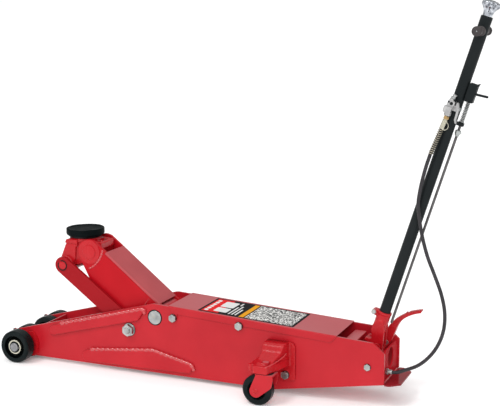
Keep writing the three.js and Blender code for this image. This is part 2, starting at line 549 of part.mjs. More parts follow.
function releaseKnob() {
  const profile = [[0, 1185], [9, 1185], [9, 1219.8], [15.5, 1219.8], [18, 1235], [25, 1250], [30.5, 1254],
    [31, 1262], [29, 1268], [18, 1271.5], [0, 1272]];
  return turnedZ(profile, 24);
}

function lockBracket() {
  return cut(block(20.5, 50, -16, 16, 935, 998), rodZ(LOCK_ROD.r + 0.5, LOCK_ROD.x, 0, 920, 1010),
    block(LOCK_ROD.x, 60, -5, 5, 957, 991));
}

// Rod with its set collar, spring washer and finger lever.
function lockRod() {
  const { x, r, bottom, top } = LOCK_ROD;
  return join(rodZ(r, x, 0, bottom, top, 16), rodZ(10, x, 0, 820, 834), rodZ(8.5, x, 0, 864, 866.7),
    rodBetween(4, new THREE.Vector3(x, 0, 965), new THREE.Vector3(89.4, 0, 970), 16));
}

const rodSpring = () => cut(rodZ(8.5, LOCK_ROD.x, 0, 867, 934.7), rodZ(5.6, LOCK_ROD.x, 0, 860, 940));
const rodGuide = () => cut(block(20.5, 46, -12, 12, 850, 862), rodZ(LOCK_ROD.r + 0.5, LOCK_ROD.x, 0, 840, 870));

// Hand valve for the air motor, clamped to the near side of the tube.
function valveBody() {
  const inlet = rodBetween(6.5, new THREE.Vector3(-18, -32, 918), new THREE.Vector3(-8, -32, 948), 16);
  return join(block(-30, 4, -45, -20.5, 880, 922), rodZ(12, -13, -32, 872.7, 928), inlet,
    block(-14, 14, -24, -20.5, 893, 912));
}

function valveTrigger() {
  const lever = outline([6, 926], [12, 926], [20, 906], [22, 870], [27, 858], [22, 856], [15, 868], [13, 902],
    [6, 914]);
  return plateXZ(lever, -42, -30);
}

const guardTop = new THREE.Vector3(-13, -31, 871);
const ferruleEnd = new THREE.Vector3(-16.7, -30.5, 824);
const guardEnd = new THREE.Vector3(-24.3, -30, 731);
const hoseFerrule = () => join(rodBetween(8.5, guardTop, ferruleEnd), rodBetween(10, ferruleEnd, guardEnd));

function buildHandle() {
  part(handle, 'handle_socket', handleSocket(), RED);
  part(handle, 'handle_tube', handleTube(), BLACK);
  part(handle, 'clamp_bolt', join(rodY(5, -35.3, 122, -15, 15), hexY(15, -35.3, 122, -20, -13.3),
    hexY(15, -35.3, 122, 13.3, 20)), ZINC);
  part(handle, 'grip_spool', gripSpool(), BLACK);
  part(handle, 'release_knob', releaseKnob(), CHROME);
  part(handle, 'lock_bracket', lockBracket(), BLACK);
  part(handle, 'lock_rod', lockRod(), STEEL);
  part(handle, 'rod_spring', rodSpring(), STEEL);
  part(handle, 'rod_guide', rodGuide(), BLACK);
  part(handle, 'valve_body', valveBody(), ZINC);
  part(handle, 'valve_trigger', valveTrigger(), ZINC);
  part(handle, 'hose_ferrule', hoseFerrule(), BRASS);
}

// ---------------------------------------------------------------- pedal, plunger and hose
function pedal() {
  const { x, z, r, from, to } = PEDAL_PIVOT;
  const lever = new THREE.Shape();
  lever.moveTo(x - 13, z - 4);
  lever.quadraticCurveTo(x - 8, 238, 1478, 266);
  lever.quadraticCurveTo(1502, 304, 1548, 322);
  lever.quadraticCurveTo(1572, 330, 1596, 334);
  lever.lineTo(1593, 326);
  lever.quadraticCurveTo(1556, 318, 1532, 298);
  lever.quadraticCurveTo(1512, 280, 1504, 252);
  lever.quadraticCurveTo(1494, 226, x + 13, z - 4);
  lever.absarc(x, z, 13.6, -0.3, Math.PI + 0.3, true);
  return cut(plateXZ(lever, from, to), boreY(r, x, z, from - 5, to + 5));
}

// Air hose, from the guard's end down past the tube and round to the port in the tail.
const HOSE_ROUTE = [
  [1625.3, -30, 904.6], [1612, -30, 861], [1600, -30, 812], [1592, -30.5, 768], [1588.5, -31, 733],
  [1592.5, -32, 692], [1604, -33, 628], [1626, -36, 553], [1656, -43, 486], [1682, -49, 424], [1697, -54, 362],
  [1696, -57, 301], [1679, -59, 246], [1649, -60, 199], [1609, -60, 162], [1560, -60, 138], [1534, -60, 127.5],
  [1515.2, -60, 126],
];

function airHose() {
  const route = new THREE.CatmullRomCurve3(HOSE_ROUTE.map((p) => new THREE.Vector3(...p)));
  const section = new THREE.Shape().absarc(0, 0, HOSE_R, 0, 2 * Math.PI);
  return new THREE.ExtrudeGeometry(section, { steps: 45, curveSegments: 4, extrudePath: route });
}

function buildTail() {
  part(jack, 'pedal', pedal(), RED);
  part(jack, 'pump_plunger', rodZ(PLUNGER.r, PLUNGER.x, 0, PLUNGER.bottom, PLUNGER.top), STEEL);
  part(jack, 'air_hose', airHose(), RUBBER);
}

buildChassis();
buildLinkage();
buildFrontWheels();
buildCasters();
buildHandle();
buildTail();

jack.position.x = -ORIGIN_X;
export default jack;
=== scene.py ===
import math
import random

import bmesh
import bpy
from mathutils import Matrix, Vector, geometry, noise


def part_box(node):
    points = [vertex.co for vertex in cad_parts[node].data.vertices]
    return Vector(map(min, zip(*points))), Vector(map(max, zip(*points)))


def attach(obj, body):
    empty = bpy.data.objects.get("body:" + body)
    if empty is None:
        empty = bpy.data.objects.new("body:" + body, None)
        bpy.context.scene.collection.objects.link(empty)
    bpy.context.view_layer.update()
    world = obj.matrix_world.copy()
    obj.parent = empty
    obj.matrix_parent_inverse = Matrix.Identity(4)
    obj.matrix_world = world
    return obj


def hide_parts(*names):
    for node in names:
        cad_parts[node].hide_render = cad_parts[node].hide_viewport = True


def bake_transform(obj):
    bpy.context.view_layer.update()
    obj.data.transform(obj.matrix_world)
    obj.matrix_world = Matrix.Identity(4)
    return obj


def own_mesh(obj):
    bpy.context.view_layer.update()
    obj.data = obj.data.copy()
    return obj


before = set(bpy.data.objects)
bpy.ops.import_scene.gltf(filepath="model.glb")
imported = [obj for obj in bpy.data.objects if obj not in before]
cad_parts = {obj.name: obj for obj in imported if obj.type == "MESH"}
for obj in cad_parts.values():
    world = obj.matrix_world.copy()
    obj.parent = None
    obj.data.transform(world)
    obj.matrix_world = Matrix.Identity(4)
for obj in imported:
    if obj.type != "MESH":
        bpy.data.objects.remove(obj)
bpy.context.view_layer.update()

# ---------------------------------------------------------------- places, from the CAD frame
MM = 0.001
AXLE_X = sum(corner.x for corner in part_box("front_axle")) / 2
TO_ROW = Matrix.Translation((AXLE_X, 0, 0)) @ Matrix.Scale(MM, 4)
HANDLE_FOOT = Vector((1431.4, 0, 200))
HANDLE_TILT = math.radians(17.3)
UPRIGHT = Matrix.Translation(HANDLE_FOOT) @ Matrix.Rotation(HANDLE_TILT, 4, "Y")
ON_HANDLE = TO_ROW @ UPRIGHT


def station(node):
    """The middle of a CAD node, in station millimetres."""
    low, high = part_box(node)
    return (TO_ROW.inverted() @ ((low + high) / 2)).to_3d()


def mid_plane(node):
    """The middle of a CAD node, moved to the jack's middle plane."""
    return Vector((station(node).x, 0, station(node).z))


def size(node):
    """The size of a CAD node's box, in millimetres."""
    low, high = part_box(node)
    return (high - low) / MM


MAIN = mid_plane("main_pivot_shaft")
SADDLE_PIN = mid_plane("saddle_pin")
LINK_PIN = mid_plane("link_pin")
LINK_BOLT = mid_plane("link_bolt_near")
CRANK_PIN = mid_plane("crank_pin")
SADDLE = station("saddle_pad")
AXLE = mid_plane("front_axle")
SIDES = ((-1, "near"), (1, "far"))

HALF_WIDTH = 105
INSIDE = 96
BELLY_Z = 17
TAIL_X = 1501.5
SHOULDER_R = 53.5
NOSE_Z, NOSE_SLOPE = 127.7, 0.2728
DECK_SLOPE = -0.059
SHEET = 3.5
COVER = (657, 1327)


def nose_edge(x):
    return NOSE_Z + NOSE_SLOPE * x


def deck_edge(x):
    return MAIN.z + SHOULDER_R + DECK_SLOPE * (x - MAIN.x)


def cover_top(x):
    return deck_edge(x) + 0.3 + SHEET


def span(side, inner, outer):
    """The y range between two distances from the middle, on the near (-1) or far (+1) side."""
    return (-outer, -inner) if side < 0 else (inner, outer)


# ---------------------------------------------------------------- camera
def make_camera():
    yaw, pitch = 0.3996, 0.1708
    forward = Vector((-math.sin(yaw) * math.cos(pitch), math.cos(yaw) * math.cos(pitch), -math.sin(pitch)))
    data = bpy.data.cameras.new("camera")
    data.lens = 75.82
    data.sensor_width = 36
    data.clip_start, data.clip_end = 0.1, 1000
    camera = bpy.data.objects.new("camera", data)
    camera.location = TO_ROW @ Vector((2443.18, -3540.39, 1348.26))
    camera.rotation_euler = forward.to_track_quat("-Z", "Y").to_euler()
    bpy.context.scene.collection.objects.link(camera)
    bpy.context.scene.camera = camera


# ---------------------------------------------------------------- outlines
def arc(x, z, radius, start, end, steps=10):
    angles = [math.radians(start + (end - start) * i / steps) for i in range(steps + 1)]
    return [(x + radius * math.cos(a), z + radius * math.sin(a)) for a in angles]


def curve(*controls, steps=10):
    """A Bezier curve through two, three or four control points, without its first point."""
    points = []
    for i in range(1, steps + 1):
        row = [Vector(c) for c in controls]
        while len(row) > 1:
            row = [a.lerp(b, i / steps) for a, b in zip(row, row[1:])]
        points.append(tuple(row[0]))
    return points


def rounded(points, closed=True, steps=4):
    """Points (a, b), or (a, b, radius) for a corner that becomes an arc."""
    result = []
    for i, point in enumerate(points):
        here = Vector(point[:2])
        if len(point) < 3 or (not closed and i in (0, len(points) - 1)):
            result.append(tuple(here))
            continue
        back = Vector(points[i - 1][:2]) - here
        ahead = Vector(points[(i + 1) % len(points)][:2]) - here
        half = back.angle(ahead) / 2
        reach = min(point[2] / math.tan(half), 0.49 * back.length, 0.49 * ahead.length)
        start, end = back.normalized() * reach, ahead.normalized() * reach
        middle = (start + end).normalized() * reach / math.cos(half)
        sweep = math.pi - 2 * half
        for k in range(steps + 1):
            t = k / steps
            spoke = (start - middle) * math.sin((1 - t) * sweep) + (end - middle) * math.sin(t * sweep)
            result.append(tuple(here + middle + spoke / math.sin(sweep)))
    return result


def mirrored(points):
    """The same points with their second number turned over."""
    return [(p[0], -p[1], *p[2:]) for p in points]


def belt(*circles, steps=64):
    """The outline of a belt round circles (x, z, radius)."""
    points = [point for x, z, r in circles for point in arc(x, z, r, 0, 360 * (1 - 1 / steps), steps - 1)]
    return [points[i] for i in geometry.convex_hull_2d([Vector(p) for p in points])]


def smooth_path(points, step=4.0):
    """Evenly spaced points on a centripetal Catmull-Rom curve through the given ones."""
    p = [Vector(q) for q in points]
    p = [p[0] * 2 - p[1], *p, p[-1] * 2 - p[-2]]
    fine = []
    for a, b, c, d in zip(p, p[1:], p[2:], p[3:]):
        t = [0.0]
        for q, r in ((a, b), (b, c), (c, d)):
            t.append(t[-1] + math.sqrt((r - q).length))
        for k in range(24):
            s = t[1] + (t[2] - t[1]) * k / 24

            def between(u, v, i, j):
                return u * ((t[j] - s) / (t[j] - t[i])) + v * ((s - t[i]) / (t[j] - t[i]))

            ab, bc, cd = between(a, b, 0, 1), between(b, c, 1, 2), between(c, d, 2, 3)
            fine.append(between(between(ab, bc, 0, 2), between(bc, cd, 1, 3), 1, 2))
    fine.append(p[-2])
    return evenly(fine, step)


def evenly(points, step):
    """The same line, with points a step apart."""
    points = [Vector(p) for p in points]
    lengths = [(b - a).length for a, b in zip(points, points[1:])]
    count = max(2, round(sum(lengths) / step))
    result, i, passed = [], 0, 0.0
    for k in range(count + 1):
        target = sum(lengths) * k / count
        while i < len(lengths) - 1 and passed + lengths[i] < target:
            passed += lengths[i]
            i += 1
        result.append(points[i].lerp(points[i + 1], min(1.0, (target - passed) / lengths[i])))
    return result


# ---------------------------------------------------------------- solids
def loft(rings, ring_shaped=False):
    """The closed skin over a row of rings. A ring of one point is a tip."""
    bm = bmesh.new()
    rows = [[bm.verts.new(p) for p in ring] for ring in rings]
    pairs = list(zip(rows, rows[1:])) + ([(rows[-1], rows[0])] if ring_shaped else [])
    for low, high in pairs:
        count = max(len(low), len(high))
        for i in range(count):
            j = (i + 1) % count
            corners = (low[i % len(low)], low[j % len(low)], high[j % len(high)], high[i % len(high)])
            bm.faces.new(list(dict.fromkeys(corners)))
    if not ring_shaped:
        for row in (rows[0], rows[-1]):
            if len(row) > 2:
                bm.faces.new(row)
    bmesh.ops.recalc_face_normals(bm, faces=bm.faces)
    return bm


def prism(outline, low, high, axis="y"):
    """An outline in (x, z), (x, y) or (y, z), extruded along y, z or x."""
    place = {"y": lambda p, h: (p[0], h, p[1]), "z": lambda p, h: (p[0], p[1], h),
        "x": lambda p, h: (h, *p)}[axis]
    return loft([[place(p, h) for p in outline] for h in (low, high)])


def slab(points, low, high, axis="y"):
    """A prism whose corners may be rounded."""
    return prism(rounded(points), low, high, axis)


def block(x0, x1, y0, y1, z0, z1):
    return prism([(x0, y0), (x1, y0), (x1, y1), (x0, y1)], z0, z1, "z")


def turned(profile, at=(0, 0, 0), axis="y", steps=64, closed=False, scallop=None):
    """A profile of (radius, height) turned about an axis through a point; closed profiles make rings."""
    rings = []
    for radius, height in profile:
        ring = []
        for k in range(steps if radius > 1e-6 else 1):
            angle = 2 * math.pi * k / steps
            r = radius * (scallop(angle, height) if scallop else 1)
            a, b = r * math.cos(angle), r * math.sin(angle)
            offset = {"y": (a, height, b), "z": (a, b, height), "x": (height, a, b)}[axis]
            ring.append(Vector(at) + Vector(offset))
        rings.append(ring)
    return loft(rings, ring_shaped=closed)


def lathe(points, at=(0, 0, 0), axis="y", steps=64):
    """A turned solid whose profile runs from the axis round to the axis, with rounded corners."""
    return turned(rounded(points, closed=False), at, axis, steps)


def disc(radius, low, high, at, axis="y", edge=1.0, steps=64):
    profile = rounded([(0, low), (radius, low, edge), (radius, high, edge), (0, high)], closed=False)
    return turned(profile, at, axis, steps)


def collar(inner, outer, low, high, at, axis="y", edge=0.7, steps=64):
    corners = [(inner, low, edge), (outer, low, edge), (outer, high, edge), (inner, high, edge)]
    return turned(rounded(corners), at, axis, steps, closed=True)


def hexagon(flats, base, top, at, axis="y", per_side=8):
    """A hexagonal head or nut with the corners of its top chamfered."""
    half = flats / 2
    drop = math.copysign(math.tan(math.radians(30)), base - top)
    rings = [[], [], [], []]
    for k in range(6 * per_side):
        angle = 2 * math.pi * k / (6 * per_side)
        corner = half / math.cos((angle + math.pi / 6) % (math.pi / 3) - math.pi / 6)
        bevelled = top + drop * (corner - 0.94 * half)
        for ring, r, h in zip(rings, (corner - 0.5, corner, corner, 0.94 * half),
                (base, base, bevelled, top)):
            a, b = r * math.cos(angle), r * math.sin(angle)
            ring.append(Vector(at) + Vector({"y": (a, h, b), "z": (a, b, h), "x": (h, a, b)}[axis]))
    return loft(rings)


def threaded(radius, base, top, at, axis="y", pitch=2.2):
    """A threaded end, drawn as close grooves, with a chamfered tip."""
    turns = max(1, round(abs(top - base) / pitch) - 1)
    way = math.copysign(pitch, top - base)
    profile = [(0, base), (radius, base)]
    for k in range(turns):
        profile += [(radius, base + way * (k + 0.25)), (radius - pitch * 0.45, base + way * (k + 0.55)),
            (radius, base + way * (k + 0.85))]
    profile += [(radius - 1.8, top), (0, top)]
    return turned(profile, at, axis, 32)


def tube(path, radius, sides=16, blunt=True):
    """A tube along a path; the radius is a number or one number for each point."""
    points = [Vector(p) for p in path]
    radii = radius if isinstance(radius, list) else [radius] * len(points)
    across = (points[1] - points[0]).orthogonal().normalized()
    angles = [2 * math.pi * k / sides for k in range(sides)]
    rings = []
    for i, point in enumerate(points):
        along = (points[min(i + 1, len(points) - 1)] - points[max(i - 1, 0)]).normalized()
        across = (across - along * across.dot(along)).normalized()
        other = along.cross(across)
        rings.append([point + (across * math.cos(angle) + other * math.sin(angle)) * radii[i]
            for angle in angles])
    if blunt:
        return loft(rings)
    ends = [(points[0] - points[1]).normalized(), (points[-1] - points[-2]).normalized()]
    first = [points[0] + ends[0] * radii[0] * 0.5 + (p - points[0]) * 0.75 for p in rings[0]]
    last = [points[-1] + ends[1] * radii[-1] * 0.5 + (p - points[-1]) * 0.75 for p in rings[-1]]
    tips = [points[0] + ends[0] * radii[0] * 0.75], [points[-1] + ends[1] * radii[-1] * 0.75]
    return loft([tips[0], first, *rings, last, tips[1]])


def bead(path, radius=4.5, pitch=9.0, seed=1):
    """A weld bead: overlapping ripples along a path, each a little different."""
    rng = random.Random(seed)
    points = evenly(path, pitch / 6)
    step = (points[1] - points[0]).length
    widths = [rng.uniform(0.92, 1.08) for _ in range(int(len(points) * step / pitch) + 2)]
    radii = []
    for i in range(len(points)):
        ripple, t = divmod(i * step / pitch, 1)
        radii.append(radius * widths[int(ripple)]
            * (0.58 + 0.42 * math.sqrt(max(0.0, 1 - (2 * t - 1) ** 2))))
    return tube(points, radii, 14, blunt=False)


def coil(start, end, radius, wire, turns, sides=8):
    """A helical spring between two points."""
    start, end = Vector(start), Vector(end)
    along = (end - start).normalized()
    across = along.orthogonal().normalized()
    other = along.cross(across)
    points = []
    for k in range(turns * 20 + 1):
        t = k / (turns * 20)
        angle = 2 * math.pi * turns * t
        lift = wire + ((end - start).length - 2 * wire) * t
        points.append(start + along * lift + (across * math.cos(angle) + other * math.sin(angle)) * radius)
    return tube(points, wire, sides)


def join(*solids):
    """Closed solids as one mesh."""
    base = solids[0]
    for other in solids[1:]:
        mesh = bpy.data.meshes.new("joined")
        other.to_mesh(mesh)
        other.free()
        base.from_mesh(mesh)
        bpy.data.meshes.remove(mesh)
    return base


def worked(solid, *modifiers):
    """The solid after modifiers, each a kind and its settings. A solid among the settings becomes a tool."""
    def as_object(bm):
        mesh = bpy.data.meshes.new("work")
        bm.to_mesh(mesh)
        bm.free()
        obj = bpy.data.objects.new("work", mesh)
        bpy.context.scene.collection.objects.link(obj)
        return obj

    objects = [as_object(solid)]
    for kind, settings in modifiers:
        modifier = objects[0].modifiers.new(kind, kind)
        for key, value in settings.items():
            if isinstance(value, bmesh.types.BMesh):
                value = as_object(value)
                objects.append(value)
            setattr(modifier, key, value)
    result = bmesh.new()
    result.from_object(objects[0], bpy.context.evaluated_depsgraph_get())
    for obj in objects:
        mesh = obj.data
        bpy.data.objects.remove(obj)
        bpy.data.meshes.remove(mesh)
    return result


def combined(solid, operation, *tools):
    result = worked(solid, *[("BOOLEAN", {"operation": operation, "solver": "EXACT", "object": tool})
        for tool in tools])
    bmesh.ops.remove_doubles(result, verts=result.verts, dist=0.01)
    bmesh.ops.dissolve_limit(result, angle_limit=math.radians(0.5), verts=result.verts, edges=result.edges)
    return result


def cut(solid, *tools):
    return combined(solid, "DIFFERENCE", *tools)


def cast(solid, grain=2.2, passes=4):
    """The solid as a casting: remeshed, with its edges and the joints of its parts softened."""
    return worked(solid, ("REMESH", {"mode": "VOXEL", "voxel_size": grain}),
        ("SMOOTH", {"factor": 0.5, "iterations": passes}))


def eased(solid, width, segments=2, angle=28, clamp=False):
    """The solid with its sharp edges rounded over."""
    sharp = [e for e in solid.edges if len(e.link_faces) == 2
        and e.calc_face_angle(0) > math.radians(angle)]
    bmesh.ops.bevel(solid, geom=sharp, offset=width, segments=segments, profile=0.5, affect="EDGES",
        clamp_overlap=clamp)
    return solid


def piece(name, solid, material, replaces=(), body="chassis", place=TO_ROW, soft=False, ride=True,
        slot=None):
    """Makes the solid a piece of the object, on its body."""
    solid.transform(place)
    mesh = bpy.data.meshes.new(name)
    solid.to_mesh(mesh)
    solid.free()
    mesh.materials.append(material)
    mesh.shade_smooth()
    obj = bpy.data.objects.new(name, mesh)
    bpy.context.scene.collection.objects.link(obj)
    if not soft:
        mesh.set_sharp_from_angle(angle=math.radians(38))
        normals = obj.modifiers.new("normals", "WEIGHTED_NORMAL")
        normals.keep_sharp = True
    if ride:
        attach(obj, body)
    if replaces:
        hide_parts(*([replaces] if isinstance(replaces, str) else replaces))
    return obj


def handle_piece(name, solid, material, replaces=(), body="handle", **settings):
    """A piece drawn in the handle's own upright frame."""
    return piece(name, solid, material, replaces, body, ON_HANDLE, **settings)


CHIP = (0.12, 0.08, 0.075)
# a paler pink for level faces: painted reflection of the bright sky
TOP_SHEEN_TONE = (0.44, 0.095, 0.105)
PEEL = [(7.3, 2, 0.0010), (240, 2, 0.00006)]
CAST_SKIN = [(55, 4, 0.0012), (330, 3, 0.00022)]
FLAT_PRINT = [(300, 2, 0.00004)]


class Finish:
    """A procedural material: nodes that end in one Principled shader."""

    def __init__(self, name, **constants):
        self.material = bpy.data.materials.new(name)
        self.material.use_nodes = True
        self.tree = self.material.node_tree
        self.shader = self.tree.nodes["Principled BSDF"]
        for key, value in constants.items():
            self.shader.inputs[key.replace("_", " ").title().replace("Ior", "IOR")].default_value = value
        self.place = self.add("ShaderNodeTexCoord").outputs["Object"]

    def add(self, kind, inputs=None, **settings):
        node = self.tree.nodes.new(kind)
        for key, value in settings.items():
            setattr(node, key, value)
        for key, value in (inputs or {}).items():
            if isinstance(value, bpy.types.NodeSocket):
                self.tree.links.new(value, node.inputs[key])
            else:
                node.inputs[key].default_value = value
        return node

    def noise(self, scale, detail=3.0, stretch=(1, 1, 1)):
        place = self.place
        if stretch != (1, 1, 1):
            place = self.add("ShaderNodeMapping", {"Vector": place, "Scale": stretch}).outputs[0]
        return self.add("ShaderNodeTexNoise", {"Vector": place, "Scale": scale,
            "Detail": detail}).outputs[0]

    def scaled(self, value, low, high, to_low=0.0, to_high=1.0):
        inputs = {0: value, 1: low, 2: high, 3: to_low, 4: to_high}
        return self.add("ShaderNodeMapRange", inputs, clamp=True).outputs[0]

    def math(self, operation, a, b=0.0):
        return self.add("ShaderNodeMath", {0: a, 1: b}, operation=operation).outputs[0]

    def mixed(self, share, a, b):
        colours = [(*c, 1) if isinstance(c, tuple) and len(c) == 3 else c for c in (a, b)]
        inputs = {0: share, 6: colours[0], 7: colours[1]}
        return self.add("ShaderNodeMix", inputs, data_type="RGBA").outputs[2]

    def edges(self, radius):
        """1 at sharp outer and inner edges, 0 on flats."""
        bevel = self.add("ShaderNodeBevel", {"Radius": radius}, samples=4).outputs[0]
        normal = self.add("ShaderNodeNewGeometry").outputs["Normal"]
        dot = self.add("ShaderNodeVectorMath", {0: bevel, 1: normal},
            operation="DOT_PRODUCT").outputs["Value"]
        return self.scaled(dot, 0.99, 0.88)

    def bump(self, *layers):
        """Layers of (height, distance in metres), one over the other."""
        normal = None
        for height, distance in layers:
            inputs = {"Height": height, "Distance": distance, "Strength": 1.0}
            if normal:
                inputs["Normal"] = normal
            normal = self.add("ShaderNodeBump", inputs).outputs[0]
        self.link("Normal", normal)

    def link(self, socket, value):
        self.tree.links.new(value, self.shader.inputs[socket])


def painted(name, dark, light, rough, chip=CHIP, bumps=PEEL, worn=0.6, coat=0.0, shine=0.25, top_sheen=0.0,
        ior=1.5):
    """Paint over metal: slow tone changes, specks, a paler sheen painted on level faces as the sky's
    reflection, orange peel and rubbed edges.
    """
    look = Finish(name, coat_weight=coat, coat_roughness=0.14, specular_ior_level=shine, ior=ior)
    tone = look.mixed(look.scaled(look.noise(5.5, 4), 0.3, 0.7), dark, light)
    dust = look.scaled(look.noise(420, 2), 0.62, 0.80, 0.0, 0.25)
    tone = look.mixed(dust, tone, light)
    # painted sheen: level faces turn towards a paler pink that stands in for the sky's reflection
    if top_sheen:
        normal = look.add("ShaderNodeNewGeometry").outputs["Normal"]
        level = look.scaled(look.add("ShaderNodeSeparateXYZ", {0: normal}).outputs["Z"], 0.9, 0.98)
        share = look.math("MULTIPLY", level, look.scaled(look.noise(3, 3), 0.35, 0.65, 0.7 * top_sheen,
            top_sheen))
        tone = look.mixed(share, tone, TOP_SHEEN_TONE)
    rub = look.math("MULTIPLY", look.edges(0.0016), look.scaled(look.noise(38, 5), 0.52, 0.66, 0.0, worn))
    look.link("Base Color", look.mixed(rub, tone, chip))
    smear = look.scaled(look.noise(12, 2), 0.12, 0.88, rough[0], rough[1])
    look.link("Roughness", look.math("ADD", smear, look.math("MULTIPLY", rub, 0.3)))
    look.bump(*[(look.noise(scale, detail), distance) for scale, detail, distance in bumps])
    return look.material


def metal(name, dark, light, rough, bumps, stretch=(1, 1, 1), blotch=45, tarnish=None):
    """Bare or plated metal: cloudy tone, grime in the grain, brushed or grainy surface."""
    look = Finish(name, metallic=1.0)
    tone = look.mixed(look.scaled(look.noise(blotch, 4), 0.3, 0.7), dark, light)
    if tarnish:
        tone = look.mixed(look.scaled(look.noise(90, 6), 0.58, 0.75, 0.0, 0.6), tone, tarnish)
    look.link("Base Color", tone)
    look.link("Roughness", look.scaled(look.noise(120, 4, stretch), 0.2, 0.8, rough[0], rough[1]))
    look.bump(*[(look.noise(scale, detail, stretch), distance) for scale, detail, distance in bumps])
    return look.material


def rubbery(name, dark, light, rough, bumps, dusty=0.12, shine=0.15, ior=1.5):
    """Rubber or moulded plastic: near black, with a dusty bloom and a fine moulded grain."""
    look = Finish(name, specular_ior_level=shine, ior=ior)
    tone = look.mixed(look.scaled(look.noise(18, 5), 0.3, 0.7), dark, light)
    bloom = look.scaled(look.noise(60, 6), 0.55, 0.8, 0.0, dusty)
    look.link("Base Color", look.mixed(bloom, tone, (0.06, 0.065, 0.062)))
    look.link("Roughness", look.scaled(look.noise(35, 4), 0.25, 0.75, rough[0], rough[1]))
    look.bump(*[(look.noise(scale, detail), distance) for scale, detail, distance in bumps])
    return look.material


def film(name, dark, light, chip):
    """Plain printed colour on the label."""
    return painted(name, dark, light, (0.25, 0.35), chip, FLAT_PRINT, 0.1, ior=1.12)


def printed(name, ink, paper, scale, rough=0.3):
    """A printed film with small marks in rows that aren't letters."""
    look = Finish(name, specular_ior_level=0.4)
    rows = look.add("ShaderNodeTexBrick", {"Vector": look.place, "Color1": (0, 0, 0, 1),
        "Color2": (1, 1, 1, 1), "Mortar": (0, 0, 0, 1), "Scale": scale, "Mortar Size": 0.012,
        "Brick Width": 0.55, "Row Height": 0.22}).outputs[0]
    blocks = look.scaled(look.noise(scale * 2.2, 1), 0.49, 0.52)
    marks = look.math("MAXIMUM", blocks, look.math("MULTIPLY",
        look.scaled(look.noise(scale * 3, 2), 0.5, 0.54), rows))
    look.link("Base Color", look.mixed(marks, paper, ink))
    look.link("Roughness", look.scaled(look.noise(50, 3), 0.3, 0.7, rough, rough + 0.15))
    look.bump((look.noise(300, 2), 0.00004))
    return look.material


# the red paint, with the painted sky sheen on its level faces
RED = painted("red_paint", (0.42, 0.008, 0.016), (0.50, 0.013, 0.022), (0.26, 0.40), top_sheen=1.0)
# a paler, pinker copy of the red paint for the arm's roof: painted sky sheen on a top face
RED_SHEEN_TOP = painted("red_sheen_top_paint", (0.38, 0.046, 0.054), (0.46, 0.062, 0.070), (0.34, 0.48), shine=0.42)
# a darker copy of the red paint for the rear ledge: painted shade
RED_SHADED_LEDGE = painted("red_shaded_ledge_paint", (0.20, 0.010, 0.016), (0.27, 0.016, 0.022), (0.08, 0.14), shine=0.35,
    ior=1.27)
# a slightly darker, deeper copy of the red paint for the arm sides: painted shade
RED_SHADED_ARM = painted("red_shaded_arm_paint", (0.40, 0.004, 0.009), (0.48, 0.006, 0.013), (0.26, 0.40), shine=0.12)
# a darker copy of the red paint for the link bars: painted shade
RED_SHADED_LINK = painted("red_shaded_link_paint", (0.28, 0.004, 0.008), (0.33, 0.006, 0.011), (0.28, 0.42), shine=0.12)
RED_CAST = painted("red_cast_paint", (0.38, 0.004, 0.009), (0.49, 0.008, 0.014), (0.2, 0.34),
    bumps=CAST_SKIN, shine=0.3)
# the pump's cast paint, with the painted sky sheen on its level faces
RED_PUMP = painted("red_pump_paint", (0.38, 0.004, 0.009), (0.49, 0.008, 0.014), (0.24, 0.36),
    bumps=CAST_SKIN, shine=0.3, top_sheen=1.0)
# a deeper red copy with almost no reflection for the rear wall: painted shade
RED_SHADED_WALL = painted("red_shaded_wall_paint", (0.36, 0.006, 0.012), (0.45, 0.010, 0.018), (0.3, 0.44), shine=0.3,
    ior=1.06)
RED_WELD = painted("red_weld_paint", (0.44, 0.009, 0.016), (0.52, 0.014, 0.022), (0.12, 0.22),
    bumps=[(180, 3, 0.0003)], worn=0.2, coat=1.0, shine=0.7)
ZINC = metal("zinc_plate", (0.29, 0.31, 0.31), (0.53, 0.55, 0.54), (0.26, 0.42), [(260, 3, 0.00005)],
    tarnish=(0.40, 0.36, 0.27))
STEEL = metal("steel", (0.20, 0.20, 0.21), (0.36, 0.36, 0.37), (0.28, 0.45), [(500, 2, 0.00002)],
    (1, 1, 0.1))
ROD_STEEL = metal("rod_steel", (0.080, 0.076, 0.077), (0.16, 0.152, 0.153), (0.30, 0.45),
    [(500, 2, 0.00002)], (1, 1, 0.1))
CHROME = metal("chrome", (0.10, 0.11, 0.13), (0.70, 0.73, 0.78), (0.06, 0.16), [(60, 2, 0.00002)],
    blotch=95)
CASTING = metal("die_casting", (0.36, 0.36, 0.365), (0.56, 0.555, 0.55), (0.34, 0.5), [(420, 3, 0.00008)])
BRASS = metal("brass", (0.46, 0.30, 0.13), (0.62, 0.44, 0.22), (0.26, 0.42), [(300, 2, 0.00004)])
SPRING_WIRE = metal("spring_wire", (0.30, 0.27, 0.20), (0.52, 0.48, 0.38), (0.22, 0.36),
    [(200, 3, 0.00003)])
YELLOW_ZINC = metal("yellow_zinc", (0.50, 0.48, 0.38), (0.74, 0.72, 0.60), (0.24, 0.38),
    [(200, 3, 0.00003)])
BLACK = painted("black_coat", (0.008, 0.011, 0.012), (0.014, 0.017, 0.018), (0.36, 0.50),
    (0.06, 0.06, 0.06), [(30, 3, 0.0003), (600, 2, 0.00004)], worn=0.4, shine=0.11)
WHEEL_BLACK = rubbery("wheel_black", (0.003, 0.006, 0.0065), (0.008, 0.013, 0.0135), (0.22, 0.36),
    [(40, 3, 0.0003), (420, 2, 0.00008)], dusty=0.04, shine=0.3, ior=1.25)
PAD_RUBBER = rubbery("pad_rubber", (0.002, 0.004, 0.0045), (0.006, 0.009, 0.0095), (0.36, 0.52),
    [(35, 4, 0.0016), (380, 3, 0.0002)], dusty=0.04, shine=0.3, ior=1.1)
